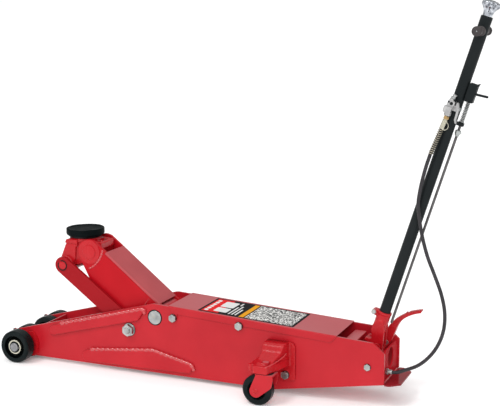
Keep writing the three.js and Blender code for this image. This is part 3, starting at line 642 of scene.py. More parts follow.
# near-black lining for the wheels' hollows: painted shade in the recesses
WHEEL_SHADE_LINING = rubbery("wheel_dish_black", (0.001, 0.0016, 0.0017), (0.002, 0.003, 0.003), (0.3, 0.45),
    [(40, 3, 0.0003), (420, 2, 0.00008)], dusty=0.02, shine=0.2, ior=1.06)
GRIP_RUBBER = rubbery("grip_rubber", (0.042, 0.037, 0.038), (0.075, 0.067, 0.068), (0.45, 0.6),
    [(500, 2, 0.00012)])
HOSE_RUBBER = rubbery("hose_rubber", (0.020, 0.018, 0.021), (0.036, 0.033, 0.038), (0.36, 0.5),
    [(900, 2, 0.0001)], shine=0.3)
LABEL_BLACK = rubbery("label_black", (0.003, 0.003, 0.004), (0.006, 0.006, 0.007), (0.25, 0.35),
    [(300, 2, 0.00004)], dusty=0.02, shine=0.3, ior=1.1)
LABEL_RED = film("label_red", (0.66, 0.006, 0.008), (0.74, 0.010, 0.012), (0.8, 0.8, 0.8))
LABEL_WHITE = film("label_white", (0.70, 0.70, 0.69), (0.78, 0.78, 0.77), (0.4, 0.4, 0.4))
LABEL_ORANGE = film("label_orange", (0.72, 0.30, 0.004), (0.80, 0.36, 0.006), (0.4, 0.3, 0.2))
LABEL_PRINT = printed("label_print", (0.02, 0.02, 0.02), (0.88, 0.87, 0.84), 62)


# ---------------------------------------------------------------- air hose
HOSE_R = 6.35
HOSE_ROUTE = [(1625.3, -30, 904.6), (1612, -30, 861), (1600, -30, 812), (1592, -30.5, 768),
    (1588.5, -31, 733), (1592.5, -32, 692), (1604, -33, 628), (1626, -36, 553), (1656, -43, 486),
    (1682, -49, 424), (1697, -54, 362), (1696, -57, 301), (1679, -59, 246), (1649, -60, 199),
    (1609, -60, 162), (1560, -60, 138), (1534, -60, 127.5), (1515.2, -60, 126)]


def make_hose():
    path = smooth_path(HOSE_ROUTE, 4)
    hose = piece("hose", tube(path, HOSE_R, 20), HOSE_RUBBER, "air_hose", soft=True, ride=False)
    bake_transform(hose)


# ---------------------------------------------------------------- chassis
PORT_Y, PORT_Z = -60, 126
WALL_X, WALL_SHEET, LEDGE_Z = 1490, 6, 86
HOLE_Z, HOLE_R = 162, 36


def plate_outline():
    rise, fall = (math.degrees(math.atan(slope)) for slope in (NOSE_SLOPE, DECK_SLOPE))
    front = (-22, nose_edge(-22))
    return rounded([front, *curve(front, (-48, 104), (-48, 63.5)),
        *curve((-48, 63.5), (-48, BELLY_Z), (10, BELLY_Z)), (1085, BELLY_Z, 20), (TAIL_X, 90, 5),
        (TAIL_X, 202, 8), (1460, deck_edge(1460), 8),
        *arc(MAIN.x, MAIN.z, SHOULDER_R, 90 + fall, 90 + rise, 14)])


def side_plate(side, tag):
    through = span(side, INSIDE - 4, HALF_WIDTH + 4)
    shell = cut(prism(plate_outline(), *span(side, INSIDE, HALF_WIDTH)),
        turned([(0, through[0]), (31, through[0]), (31, through[1]), (0, through[1])], MAIN, steps=96))
    thrust = span(side, HALF_WIDTH - 1, 117)
    pad = combined(disc(71, *thrust, AXLE, edge=0.1, steps=96), "INTERSECT",
        block(-45, 80, thrust[0] - 1, thrust[1] + 1, BELLY_Z + 0.5, 120))
    boss = disc(34, *span(side, 116, 127.7), AXLE, edge=2.5)
    piece(f"plate_{tag}", eased(shell, 1.3, clamp=True), RED, f"side_plate_{tag}")
    piece(f"thrust_pad_{tag}", join(eased(pad, 2.5, 3), boss), RED_CAST)
    ring = collar(27.9, 31, *span(side, INSIDE + 1, HALF_WIDTH - 2), MAIN, edge=0.5)
    piece(f"shaft_bushing_{tag}", ring, BLACK)


def upper_brace(side, tag):
    def below(x, drop):
        return (x, nose_edge(x) - drop)

    outline = [below(150, 52), below(528, 55), (550, 250),
        *curve((550, 250), (552, 262), (540, nose_edge(540) - 13), steps=6), below(150, 12),
        *curve(below(150, 12), below(116, 12), below(116, 52), below(150, 52), steps=16)[:-1]]
    plate = prism(outline, *span(side, HALF_WIDTH - 0.4, HALF_WIDTH + 10.7))
    piece(f"brace_upper_{tag}", eased(plate, 4, 4), RED, f"upper_brace_{tag}")
    y = side * (HALF_WIDTH + 2.5)
    top = [(x, y + side, nose_edge(x) - 12) for x in range(176, 541, 13)]
    end = [(550, y, nose_edge(540) - 15), (556, y, 262), (555, y, 250)]
    piece(f"weld_upper_{tag}", bead([*top, *end], 8.6, 22, 3 + side), RED_WELD)


def lower_brace(side, tag):
    outline = [(297, 26), (744, 34), *curve((744, 34), (770, 52), (746, 70), steps=8), (588, 106),
        (304, 74), *curve((304, 74), (270, 70), (268, 28), (297, 26), steps=16)[:-1]]
    plate = prism(outline, *span(side, HALF_WIDTH - 0.4, HALF_WIDTH + 10.7))
    piece(f"brace_lower_{tag}", eased(plate, 4, 4), RED, f"lower_brace_{tag}")
    y = side * (HALF_WIDTH + 2.5)
    corners = [(312, y + side, 75.5), (586, y + side, 106.5), (600, y + side, 104), (746, y, 70.5),
        (758, y, 62), (762, y, 50)]
    piece(f"weld_lower_{tag}", bead(corners, 8.6, 22, 7 + side), RED_WELD)


def top_cover():
    outer = HALF_WIDTH + 0.3 + SHEET
    inner = outer - SHEET
    depth, bend = 24 + SHEET, 5
    section = rounded([(-outer, -depth), (-outer, 0, bend), (outer, 0, bend), (outer, -depth),
        (inner, -depth), (inner, -SHEET, bend - SHEET), (-inner, -SHEET, bend - SHEET), (-inner, -depth)],
        steps=6)
    rings = []
    for x, slant in ((COVER[0], 12), (COVER[1], -22)):
        rings.append([])
        for y, drop in section:
            at = x - slant * drop / depth
            rings[-1].append((at, y, cover_top(at) + drop))
    lid = loft(rings)
    ears = []
    for node, radius, rise in (("cover_bolt_front", 15, 20), ("cover_bolt_rear", 12, 8)):
        at = station(node)
        ears += [prism(belt((at.x, at.z, radius), (at.x, at.z + rise, radius)), *span(side, inner, outer))
            for side, _ in SIDES]
    piece("cover", eased(combined(lid, "UNION", *ears), 0.7, 2, clamp=True), RED, "top_cover")


def label():
    """A film on the cover with plain blocks of colour where the photo has print."""
    x0, x1, y0, y1 = 775, 1158, -97, 91

    def panel(name, left, right, near, far, height, material, corner=1.0):
        """Between shares of the label's length and width, as thick as height tenths of a millimetre."""
        a, b = (x0 + (x1 - x0) * share for share in (left, right))
        c, d = (y0 + (y1 - y0) * share for share in (near, far))
        solid = slab([(a, c, corner), (b, c, corner), (b, d, corner), (a, d, corner)], 0, height / 10, "z")
        for vertex in solid.verts:
            vertex.co.z += cover_top(vertex.co.x)
        return piece(f"label_{name}", solid, material)

    panel("base", 0, 1, 0, 1, 3, LABEL_BLACK, 4)
    panel("red", 0.025, 0.205, 0.05, 0.95, 5, LABEL_RED)
    panel("orange", 0.425, 0.475, 0.05, 0.95, 5, LABEL_ORANGE)
    panel("print", 0.49, 0.975, 0.05, 0.95, 5, LABEL_PRINT)
    for k in range(6):
        near = 0.10 + k * 0.135
        panel(f"mark_{k}", 0.045, 0.082, near, near + 0.10, 7, LABEL_WHITE)
    for k, (near, far) in enumerate(((0.14, 0.42), (0.48, 0.86))):
        panel(f"figure_{k}", 0.135, 0.275, near, far, 7, LABEL_WHITE, 6)
    for k, (left, near, far) in enumerate(((0.30, 0.1, 0.62), (0.335, 0.1, 0.7), (0.37, 0.1, 0.5),
            (0.30, 0.72, 0.9))):
        panel(f"line_{k}", left, left + 0.016, near, far, 5, LABEL_WHITE)


def tie_bolt(node, flats, face, height, name):
    """A through bolt: head on the near side, nut and thread on the far side."""
    at = mid_plane(node)
    parts = [disc(8, -face - 1, face + 1, at)]
    for side, _ in SIDES:
        parts.append(disc(flats * 0.49, *span(side, face, face + 2), at, edge=0.7))
        parts.append(hexagon(flats, side * (face + 1.4), side * (face + height - 1), at))
    parts.append(disc(flats * 0.38, *span(-1, face + height - 1.5, face + height - 0.4), at, edge=0.5))
    parts.append(threaded(7.5, face + height - 1.5, face + height + 2, at))
    piece(name, join(*parts), ZINC, node)
    # thin black rings under the heads and nuts: a painted shadow round each bolt
    shadow_rings = [disc(flats * 0.58, *span(side, face - 0.2, face + 0.6), at, edge=0.2) for side, _ in SIDES]
    piece(f"{name}_seats", join(*shadow_rings), BLACK)


def link_bolt(side, tag):
    at = LINK_BOLT
    shank = disc(14, *span(side, 74.5, HALF_WIDTH + 2), at)
    washer = disc(25, *span(side, HALF_WIDTH - 0.2, HALF_WIDTH + 2.5), at, edge=0.8)
    nut = hexagon(41, side * (HALF_WIDTH + 2.3), side * (HALF_WIDTH + 20), at)
    end = threaded(12.5, side * (HALF_WIDTH + 18), side * (HALF_WIDTH + 24.6), at)
    piece(f"link_nut_{tag}", join(shank, washer, nut, end), ZINC, f"link_bolt_{tag}")
    # a thin black ring just wider than the washer: a painted shadow round the bolt
    seat = disc(26.5, *span(side, HALF_WIDTH - 0.2, HALF_WIDTH + 0.7), at, edge=0.2)
    piece(f"link_shadow_ring_{tag}", seat, BLACK)


def axle_and_shaft():
    half = 180
    profile = []
    for side in (-1, 1):
        end = [(0, half - 2), (4, half), (16.5, half), (17.5, half - 1), (17.5, half - 4), (18.5, half - 5)]
        profile += [(r, side * h) for r, h in (end if side < 0 else end[::-1])]
    piece("axle", turned(profile, AXLE), STEEL, "front_axle")
    for side, tag in SIDES:
        ring = arc(AXLE.x, AXLE.z, 20.3, 25, 335, 40)
        path = [(x, side * 176.5, z) for x, z in ring]
        piece(f"axle_clip_{tag}", tube(path, 1.7, 10), BLACK)
        sleeve = collar(19, 26, *span(side, 2, 42), AXLE)
        piece(f"axle_sleeve_{tag}", sleeve, ZINC)
    end = HALF_WIDTH + 1.4
    corners = [(0, -end + 1), (5, -end), (27, -end, 1.5), (27, end, 1.5), (5, end), (0, end - 1)]
    piece("main_shaft", lathe(corners, MAIN), ZINC, "main_pivot_shaft")


def front_cross_plate():
    x = station("front_cross_plate").x
    y = INSIDE - 0.3
    plate = slab([(-y, 25, 2), (y, 25, 2), (y, 140, 8), (-y, 140, 8)], x - 3, x + 3, "x")
    welds = [bead([(x + face * 3.4, side * (y - 1), z) for z in range(34, 118, 8)], 3.2, 8,
        20 + side + face) for side in (-1, 1) for face in (-1, 1)]
    piece("cross_plate_front", eased(plate, 1.0), RED, "front_cross_plate")
    piece("cross_plate_welds", join(*welds), RED_WELD)


def rear_frame():
    x, sheet, top, ledge_z = WALL_X, WALL_SHEET, 204, LEDGE_Z
    y = INSIDE - 0.3
    wall = slab([(-y, ledge_z), (y, ledge_z), (y, top - 30, 4), (y - 32, top, 6), (32 - y, top, 6),
        (-y, top - 30, 4)], x, x + sheet, "x")
    wall = cut(wall, disc(HOLE_R, x - 5, x + sheet + 5, (0, 0, HOLE_Z), "x", 0.1, 96),
        disc(9.4, x - 5, x + sheet + 5, (0, PORT_Y, PORT_Z), "x", 0.1, 48))
    half = [(TAIL_X + 0.3, -y), (TAIL_X + 0.3, -HALF_WIDTH, 3), (1522, -HALF_WIDTH, 10), (1556, -74, 10)]
    ledge = [(x, -y), *half, *mirrored(reversed(half)), (x, y)]
    floor = slab(ledge, ledge_z, ledge_z + sheet, "z")
    # the wall in the deeper, shaded copy of the red: painted shade
    piece("rear_wall", eased(wall, 1.6, 3, clamp=True), RED_SHADED_WALL, "rear_frame")
    # the ledge in the darker copy of the red: painted shade
    piece("rear_ledge", eased(floor, 1.6), RED_SHADED_LEDGE)
    seams = [bead([(x - 0.5, s * (y - 1), z) for z in range(94, 172, 8)], 3.6, 9, 30 + s) for s in (-1, 1)]
    seams.append(bead([(x + sheet + 1, py, ledge_z + sheet + 0.6) for py in range(-88, 89, 8)], 3.6, 9, 33))
    piece("rear_welds", join(*seams), RED_WELD)


def caster_bracket(side, tag):
    wall = rounded([(1062, 96, 6), (1110, 62, 8), (1172, 62, 12), (1172, 206, 18), (1062, 206, 18)])
    shelf = rounded([(1042, 100), (1042, 212, 10), (1058, 230, 8), (1062, 252, 12), (1117, 252, 8),
        (1127, 222, 20), (1151, 140), (1151, 100)])
    house = [(100, 121), (100, 208), (152, 208, 20), (166, 178, 26), (214, 152, 14), (214, 121)]
    plan = rounded([(1063, side * 90), (1063, side * 216), (1121, side * 216), (1128, side * 190, 20),
        (1149, side * 136), (1149, side * 90)])
    solid = join(prism(wall, *span(side, HALF_WIDTH + 0.2, HALF_WIDTH + 9)),
        prism([(x, side * y) for x, y in shelf], 121.5, 149.5, "z"),
        combined(prism([(side * y, z) for y, z in rounded(house)], 1050, 1160, "x"), "INTERSECT",
        prism(plan, 110, 220, "z")), disc(26, 125, 158, (1090, side * 212, 0), "z", 2),
        disc(9, 125, 151, (1050, side * 232, 0), "z"))
    keep = block(1000, 1200, *span(side, HALF_WIDTH + 0.2, 260), 40, 220)
    at = (CASTER_SWIVEL_X, station(f"caster_wheel_{tag}").y, 0)
    body = cut(combined(cast(solid, 2.0, 7), "INTERSECT", keep), disc(12.6, 110, 166, at, "z", 0.1))
    piece(f"caster_casting_{tag}", body, RED_CAST, f"caster_bracket_{tag}", soft=True)
    brow = [(1113, side * 250, 148.5), (1122, side * 226, 149.5), (1131, side * 194, 153),
        (1143, side * 160, 163), (1149, side * 142, 172)]
    piece(f"caster_brow_{tag}", tube(smooth_path(brow, 3), 2.8, 14, blunt=False), RED_WELD)


# ---------------------------------------------------------------- casters
CASTER_SWIVEL_X = 1102


def shade_linings(profile, hub, steps=64):
    """Near-black linings of the hollows in a wheel's two faces: painted shade in the recesses."""
    return join(turned(mirrored(profile), hub, steps=steps, closed=True),
        turned(profile, hub, steps=steps, closed=True))


def caster(tag):
    hub = station(f"caster_wheel_{tag}")
    swivel = f"caster_swivel_{tag}"
    top = (CASTER_SWIVEL_X, hub.y, 0)
    leg = belt((hub.x, hub.z, 23), (1084, 107.5, 12), (1127, 107.5, 12), (1114, 84, 20))
    legs = [prism(leg, *sorted((hub.y + cheek * 23, hub.y + cheek * 29))) for cheek in (-1, 1)]
    crown = slab([(1072, hub.y - 29, 3), (1139, hub.y - 29, 8), (1139, hub.y + 29, 8),
        (1072, hub.y + 29, 3)], 114, 118.8, "z")
    race = collar(12, 29, 118.6, 121.3, top, "z", 0.5)
    stem = disc(12, 115, 160, top, "z")
    fork = combined(legs[0], "UNION", legs[1], crown)
    piece(f"fork_{tag}", join(eased(fork, 1.6, 3, clamp=True), stem), RED, f"caster_fork_{tag}",
        body=swivel)
    # the swivel race, in black: a real part, and also a painted shadow line under the bracket's shelf
    piece(f"fork_race_{tag}", race, BLACK, body=swivel)
    rivets = [turned([(0, cheek * 28), (10, cheek * 28), (10, cheek * 29.6), (8, cheek * 31.6),
        (4, cheek * 32.8), (0, cheek * 33)], hub) for cheek in (-1, 1)]
    piece(f"fork_rivet_{tag}", join(*rivets, disc(7.6, -28.5, 28.5, hub)), RED_CAST, body=swivel)
    r, half = size(f"caster_wheel_{tag}").z / 2, size(f"caster_wheel_{tag}").y / 2
    side_of_tyre = [(31, 14, 2), (35, half, 2), (r - 7, half, 4), (r, half - 6, 5)]
    tyre = rounded(mirrored(side_of_tyre) + side_of_tyre[::-1])
    side_of_web = [(8.6, 19, 1), (15, 19, 2), (17, 8, 4), (32, 7, 2)]
    web = rounded(mirrored(side_of_web) + side_of_web[::-1])
    wheel = join(turned(tyre, hub, closed=True, steps=80), turned(web, hub, closed=True))
    piece(f"caster_tyre_{tag}", wheel, WHEEL_BLACK, f"caster_wheel_{tag}", body=f"caster_wheel_{tag}")
    # near-black lining in the caster wheel's hollows: painted shade
    dish = [(16.5, 7), (16.5, 9.4), (31, 8.4), (34.0, half - 2.2), (35.6, half - 2.2), (33, 6)]
    piece(f"caster_shade_lining_{tag}", shade_linings(dish, hub), WHEEL_SHADE_LINING, body=f"caster_wheel_{tag}")
    piece(f"caster_bush_{tag}", collar(8.3, 11.5, -21.4, 21.4, hub), ZINC, body=f"caster_wheel_{tag}")


def front_wheel(tag):
    hub = station(f"front_wheel_{tag}")
    half = size(f"front_wheel_{tag}").y / 2
    r = size(f"front_wheel_{tag}").z / 2
    profile = [(24, 0), (24, 8, 1), (43, 5, 5), (45.5, half - 1, 3), (r - 5, half, 4), (r, half - 6, 5)]
    tread = [(r, 1), (r + 0.4, 0), (r, -1)]
    wheel = turned(rounded(profile + tread + mirrored(reversed(profile[1:]))), hub, closed=True, steps=96)
    body = f"front_wheel_{tag}"
    piece(f"wheel_{tag}", wheel, WHEEL_BLACK, f"front_wheel_{tag}", body=body)
    face = half - 4.5
    # near-black lining in the wheel's hollows: painted shade
    dish = [(28.5, 6), (28.5, 8.4), (42, 6.2), (44.4, half - 3), (46.4, half - 3), (44, 4)]
    piece(f"wheel_dish_{tag}", shade_linings(dish, hub, 96), WHEEL_SHADE_LINING, body=body)
    sleeve = rounded([(23.2, -face, 0.8), (29, -face, 1.4), (29, face, 1.4), (23.2, face, 0.8)])
    piece(f"wheel_sleeve_{tag}", turned(sleeve, hub, closed=True), YELLOW_ZINC, body=body)
    piece(f"wheel_seal_{tag}", collar(18.9, 23.3, 2 - face, face - 2, hub), BLACK, body=body)


# ---------------------------------------------------------------- lift arm and linkage
ARM_LENGTH = math.hypot(MAIN.x - SADDLE_PIN.x, SADDLE_PIN.z - MAIN.z)
ARM_ANGLE = math.atan2(SADDLE_PIN.z - MAIN.z, MAIN.x - SADDLE_PIN.x)
ROOF = ((24, 29.8), (320, 39.7))
ROOF_SHEET = 9


def arm_point(u, n):
    """u along the arm from the main pivot, n square to it."""
    c, s = math.cos(ARM_ANGLE), math.sin(ARM_ANGLE)
    return (MAIN.x - u * c + n * s, MAIN.z + u * s + n * c)


def roof_room():
    (u0, n0), (u1, n1) = ROOF
    return [arm_point(u0 - 0.3, n0 - 0.2), arm_point(u1 + 0.3, n1 - 0.2), arm_point(u1 + 0.3, 90),
        arm_point(u0 - 0.3, 90)]


def arm_side(side, tag):
    y = span(side, 58, 70)
    beam = prism(belt((*arm_point(ARM_LENGTH, 0), 50), (*arm_point(0, 0), 38), (*arm_point(50, -54), 38),
        (*arm_point(296, -53), 38)), *y)
    crank = prism(belt((MAIN.x, MAIN.z, 38), (CRANK_PIN.x, CRANK_PIN.z, 26), (*arm_point(90, -20), 30)), *y)
    plate = cut(combined(beam, "UNION", crank), prism(roof_room(), 40 * side, 90 * side))
    # the arm sides in the darker copy of the red: painted shade
    piece(f"arm_plate_{tag}", eased(plate, 1.3, clamp=True), RED_SHADED_ARM, f"arm_side_{tag}", body="lift_arm")
    piece(f"arm_boss_{tag}", disc(36, *span(side, 69, 95.2), MAIN, edge=2.5), RED_CAST, body="lift_arm")
    piece(f"arm_tip_{tag}", disc(48, *span(side, 69, 71.8), SADDLE_PIN, edge=1.8, steps=96), RED_CAST,
        body="lift_arm")
    across = [arm_point(ARM_LENGTH - 40 - 12 * (1 - (n / 50) ** 2), n) for n in range(-56, 46, 4)]
    seam = [(x, side * 68.2, z) for x, z in across]
    piece(f"arm_tip_weld_{tag}", bead(seam, 5.2, 14, 52 + side), RED_WELD, body="lift_arm")
    foot = [arm_point(70, n) for n in range(-28, 26, 5)]
    piece(f"arm_foot_weld_{tag}", bead([(x, side * 69.4, z) for x, z in foot], 2.2, 7, 50 + side), RED_WELD,
        body="lift_arm")


def arm_middle():
    (u0, n0), (u1, n1) = ROOF
    roof = [arm_point(u0, n0), arm_point(u1, n1), arm_point(u1, n1 + ROOF_SHEET),
        arm_point(u0, n0 + ROOF_SHEET)]
    # the roof in the pinker copy of the red: painted sheen
    piece("arm_roof", eased(prism(roof, -70, 70), 1.8, 3), RED_SHEEN_TOP, "arm_top_plate", body="lift_arm")
    seams = []
    for side in (-1, 1):
        line = [(x, side * 57.5, z) for x, z in (arm_point(u, n0 + (n1 - n0) * (u - u0) / (u1 - u0) - 1)
            for u in range(40, 311, 10))]
        seams.append(bead(line, 4, 9, 60 + side))
    piece("arm_inner_welds", join(*seams), RED_WELD, body="lift_arm")
    sleeve = cut(collar(27.9, 35, -57.7, 57.7, MAIN, edge=1), prism(roof_room(), -80, 80))
    piece("arm_sleeve", sleeve, RED, "arm_pivot_tube", body="lift_arm")
    piece("crank_bar", disc(14, -69.8, 69.8, CRANK_PIN, edge=1.5), STEEL, "crank_pin", body="lift_arm")
    caps = [turned([(0, s * 69), (29, s * 69), (29, s * 72.2), (28, s * 73.6), (24, s * 74.6),
        (14, s * 75.2), (0, s * 75.4)], SADDLE_PIN) for s in (-1, 1)]
    piece("saddle_pin_caps", join(disc(16, -71, 71, SADDLE_PIN), *caps), RED_CAST, "saddle_pin",
        body="lift_arm")


def link_bars():
    for side, tag in SIDES:
        bar = prism(belt((LINK_BOLT.x, LINK_BOLT.z, 34), (LINK_PIN.x, LINK_PIN.z, 34)), *span(side, 76, 90))
        # the link bars in the darker copy of the red: painted shade
        piece(f"link_{tag}", eased(bar, 2.4, 3), RED_SHADED_LINK, f"link_bar_{tag}", body="link")
        clip = [(x, side * 91.2, z) for x, z in arc(LINK_PIN.x, LINK_PIN.z, 19, -210, 110, 40)]
        piece(f"link_clip_{tag}", tube(clip, 1.9, 10), BLACK, body="link")
    corners = [(0, -91), (13, -92, 2), (16.8, -91, 2), (16.8, 91, 2), (13, 92, 2), (0, 91)]
    piece("link_pin_bar", lathe(corners, LINK_PIN), RED_CAST, "link_pin", body="link")


def saddle_bracket():
    seat_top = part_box("saddle_bracket")[1].z / MM
    x, z = SADDLE_PIN.x, SADDLE_PIN.z

    def clear_of_arm(solid):
        return cut(solid, *[disc(51.6, *span(side, 57, 100), (x, 0, z), edge=0.1, steps=96)
            for side in (-1, 1)])

    middle = prism(belt((x, z, 38), (LINK_PIN.x + 40, LINK_PIN.z + 30, 30), (SADDLE.x + 20, 480, 22)), -57,
        57)
    nose = slab([(LINK_PIN.x - 27, LINK_PIN.z + 14), (LINK_PIN.x + 20, LINK_PIN.z - 22), (226, 425, 14),
        (230, 480), (183, 480, 4), (179, 470, 4)], -66, 66)
    brim = slab([(181, 484, 4), (238, 484), (238, seat_top - 4), (187, seat_top - 4, 8)], -69, 69)
    waist = prism([(184, 474), (236, 474), (236, 490), (186, 490)], -64, 64)
    hub = disc(31, -75, 75, LINK_PIN, edge=5)
    seat = disc(62, seat_top - 15, seat_top, (SADDLE.x, 0, 0), "z", 3)
    web = disc(48, 468, seat_top - 10, (SADDLE.x, 0, 0), "z", 3)
    lug = slab([(296, 470), (338, 462, 6), (336, 494, 6), (280, 500)], -48, 48)
    solid = cast(join(middle, clear_of_arm(nose), clear_of_arm(brim), clear_of_arm(waist), hub,
        clear_of_arm(seat), clear_of_arm(web), lug), 2.0, 6)
    solid = cut(solid, *[disc(6, 484, 520, (322, y, 0), "z", 0.1, 32) for y in (-28, 22)],
        slab([(300, 478, 3), (316, 476, 3), (314, 515), (298, 515)], -16, 8))
    solid = cut(solid, disc(17.2, -90, 90, LINK_PIN, edge=0.1), disc(16.2, -90, 90, (x, 0, z), edge=0.1),
        disc(18.4, 484, 520, (SADDLE.x, 0, 0), "z", 0.1))
    piece("saddle_casting", solid, RED_CAST, "saddle_bracket", body="saddle_bracket", soft=True)


def saddle():
    at = (SADDLE.x, 0, 0)
    plate = rounded([(0, 486), (17.6, 486, 1.5), (17.6, 505.4), (64, 505.4, 3), (67.5, 512), (0, 512)],
        closed=False)
    piece("saddle_disc", turned(plate, at, "z"), BLACK, "saddle_plate", body="saddle")
    low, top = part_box("saddle_pad")[0].z / MM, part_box("saddle_pad")[1].z / MM
    profile = rounded([(0, low), (72.5, low, 5), (76, low + 6, 5), (76.4, top - 3, 3), (75, top, 3),
        (66, top - 0.4, 4), (60, top - 3.2, 4), (0, top - 2.8)], closed=False, steps=6)
    pad = turned(profile, at, "z", 128)
    for vertex in pad.verts:
        swell = noise.noise(vertex.co * 0.03) * 0.9
        spoke = (vertex.co - Vector((SADDLE.x, 0, vertex.co.z)))
        if spoke.length > 40:
            vertex.co += spoke.normalized() * (swell - 0.5)
            vertex.co.z += 1.6 * noise.noise(vertex.co * 0.018) if vertex.co.z > top - 6 else 0
    piece("saddle_rubber", pad, PAD_RUBBER, "saddle_pad", body="saddle", soft=True)


RAM_Z = 130


def ram():
    low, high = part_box("ram_rod")
    low, high = TO_ROW.inverted() @ low, TO_ROW.inverted() @ high
    slot = 18
    head = slab([(CRANK_PIN.x - slot - 16, low.z, 6), (CRANK_PIN.x + slot + 20, low.z, 6),
        (CRANK_PIN.x + slot + 20, high.z, 6), (CRANK_PIN.x - slot - 16, high.z, 6)], -28, 28)
    window = slab([(CRANK_PIN.x - slot, low.z + 14, 6), (CRANK_PIN.x + slot, low.z + 14, 6),
        (CRANK_PIN.x + slot, high.z - 14, 6), (CRANK_PIN.x - slot, high.z - 14, 6)], -40, 40)
    piece("crosshead", eased(cut(head, window), 1.8, clamp=True), STEEL, "ram_rod", body="ram")
    piston = disc(22.3, CRANK_PIN.x + slot + 15, high.x, (0, 0, RAM_Z), "x", 1.5)
    piece("piston_rod", piston, CHROME, body="ram", slot="steel")
    front, neck, rear = 730, 1115, 1149.7
    body = rounded([(22.9, front, 1), (44, front, 3), (50, front + 8, 2), (50, front + 34, 1),
        (48.5, front + 36, 1), (48.5, neck - 22, 1), (50, neck - 20, 1), (50, neck, 3), (34, neck + 3, 3),
        (34, rear, 1), (0, rear)], closed=False)
    barrel = turned([(0, neck - 15), (22.9, neck - 15), *body], (0, 0, RAM_Z), "x")
    piece("ram_barrel", barrel, RED, "ram_cylinder")
    piece("ram_gland", collar(22.7, 33, front - 4, front + 2, (0, 0, RAM_Z), "x", 1.2), BLACK)
    motor = station("air_motor")
    length = size("air_motor").x / 2
    shape = rounded([(0, -length), (21, -length, 2), (25, -length + 5, 1), (25, length - 24, 1),
        (22.5, length - 22, 1), (22.5, length - 12, 1), (25, length - 10, 1), (25, length, 2), (0, length)],
        closed=False)
    piece("motor_can", turned(shape, motor, "x"), CASTING, "air_motor", slot="steel")


# ---------------------------------------------------------------- hydraulic unit
PLUNGER = (1408, 0, 0)
HANDLE_PIVOT = (1450, 200)
PEDAL_PIVOT = (1470, 205)


def pump():
    x, z = HANDLE_PIVOT
    lug = prism(belt((x, z, 19.8), (1446, 125, 18)), -14, 14)
    ear = prism(belt((*PEDAL_PIVOT, 13.5), (1415, 115, 14)), 57, 65)
    shells = join(slab([(-85, 70, 8), (85, 70, 8), (85, 180, 8), (-85, 180, 8)], 1150, 1386, "x"),
        slab([(1340, -72, 8), (1386, -72, 8), (1386, 72, 8), (1340, 72, 8)], 160, 226, "z"),
        block(1380, 1440, -70, 70, 70, 150), lug, ear)
    solid = cut(cast(shells, 2.4, 3), disc(9.4, 72, 160, PLUNGER, "z", 0.1),
        disc(11.4, -20, 20, (x, 0, z), edge=0.1))
    piece("pump_casting", solid, RED_PUMP, "pump_block", soft=True)
    screw = (PEDAL_PIVOT[0], 0, PEDAL_PIVOT[1])
    piece("pump_screws", join(disc(6, 28.5, 60, screw), disc(9, 27.2, 29.4, screw, edge=0.6)), ZINC)
    pin = join(disc(10.8, -29, 28.6, (x, 0, z), edge=1.5), disc(14, -31, -28, (x, 0, z), edge=1),
        disc(13, 27.4, 29, (x, 0, z), edge=0.6))
    piece("handle_pin", pin, ZINC, "handle_pivot_pin")
    caps = [disc(15.5, *span(s, 28.6, 32.4), (x, 0, z), edge=1.6) for s in (-1, 1)]
    piece("handle_pin_caps", join(*caps), RED_CAST)
    piece("plunger_gland", collar(9.2, 14, 148, 156, PLUNGER, "z"), STEEL)
    rod = rounded([(0, 105), (8.8, 105, 1), (8.8, 184, 1), (7, 186, 0.5), (7, 189, 0.5), (8.8, 191, 0.5),
        (8.8, 196, 2), (0, 196)], closed=False)
    piece("plunger", turned(rod, PLUNGER, "z"), STEEL, "pump_plunger", body="pump_plunger")


def hose_port():
    port = (0, PORT_Y, PORT_Z)
    parts = [threaded(8.7, 1476, 1497, port, "x", 1.8), hexagon(22, 1496.4, 1505, port, "x")]
    ferrule = [(0, 1504), (8.6, 1504), (8.6, 1506)]
    for k in range(3):
        at = 1507 + k * 3
        ferrule += [(8.9, at), (8.2, at + 1.1), (8.9, at + 2.2)]
    ferrule += [(8.2, 1517.5), (6.6, 1518.5), (0, 1518.5)]
    piece("port_fitting", join(*parts, turned(ferrule, port, "x")), ZINC, "hose_fitting")


def pedal():
    x, z = PEDAL_PIVOT
    y0, y1 = 30, 55
    top = [*curve((x - 13, z - 4), (x - 8, 238), (1478, 266)),
        *curve((1478, 266), (1502, 304), (1548, 322)),
        *curve((1548, 322), (1572, 330), (1594, 334), steps=6)]
    under = [(1596.5, 331), (1593, 326), *curve((1593, 326), (1556, 318), (1532, 298)),
        *curve((1532, 298), (1512, 280), (1504, 252)), *curve((1504, 252), (1494, 226), (x + 13, z - 4))]
    foot = arc(x, z, 13.6, -17, -163, 12)
    lever = cut(prism([*top, *under, *foot], y0, y1), disc(6.3, y0 - 3, y1 + 3, (x, 0, z), edge=0.1))
    ribs = [disc(3.4, y0 + 1, y1 - 1, (px, 0, pz - 1.0), edge=0.8, steps=20)
        for px, pz in (curve((1548, 322), (1572, 330), (1594, 334), steps=8)
        + [(1541, 319.6), (1534, 316.6)])[:-1]]
    piece("pedal_lever", join(eased(lever, 2.2, 3, clamp=True), *ribs), RED_CAST, "pedal", body="pedal")


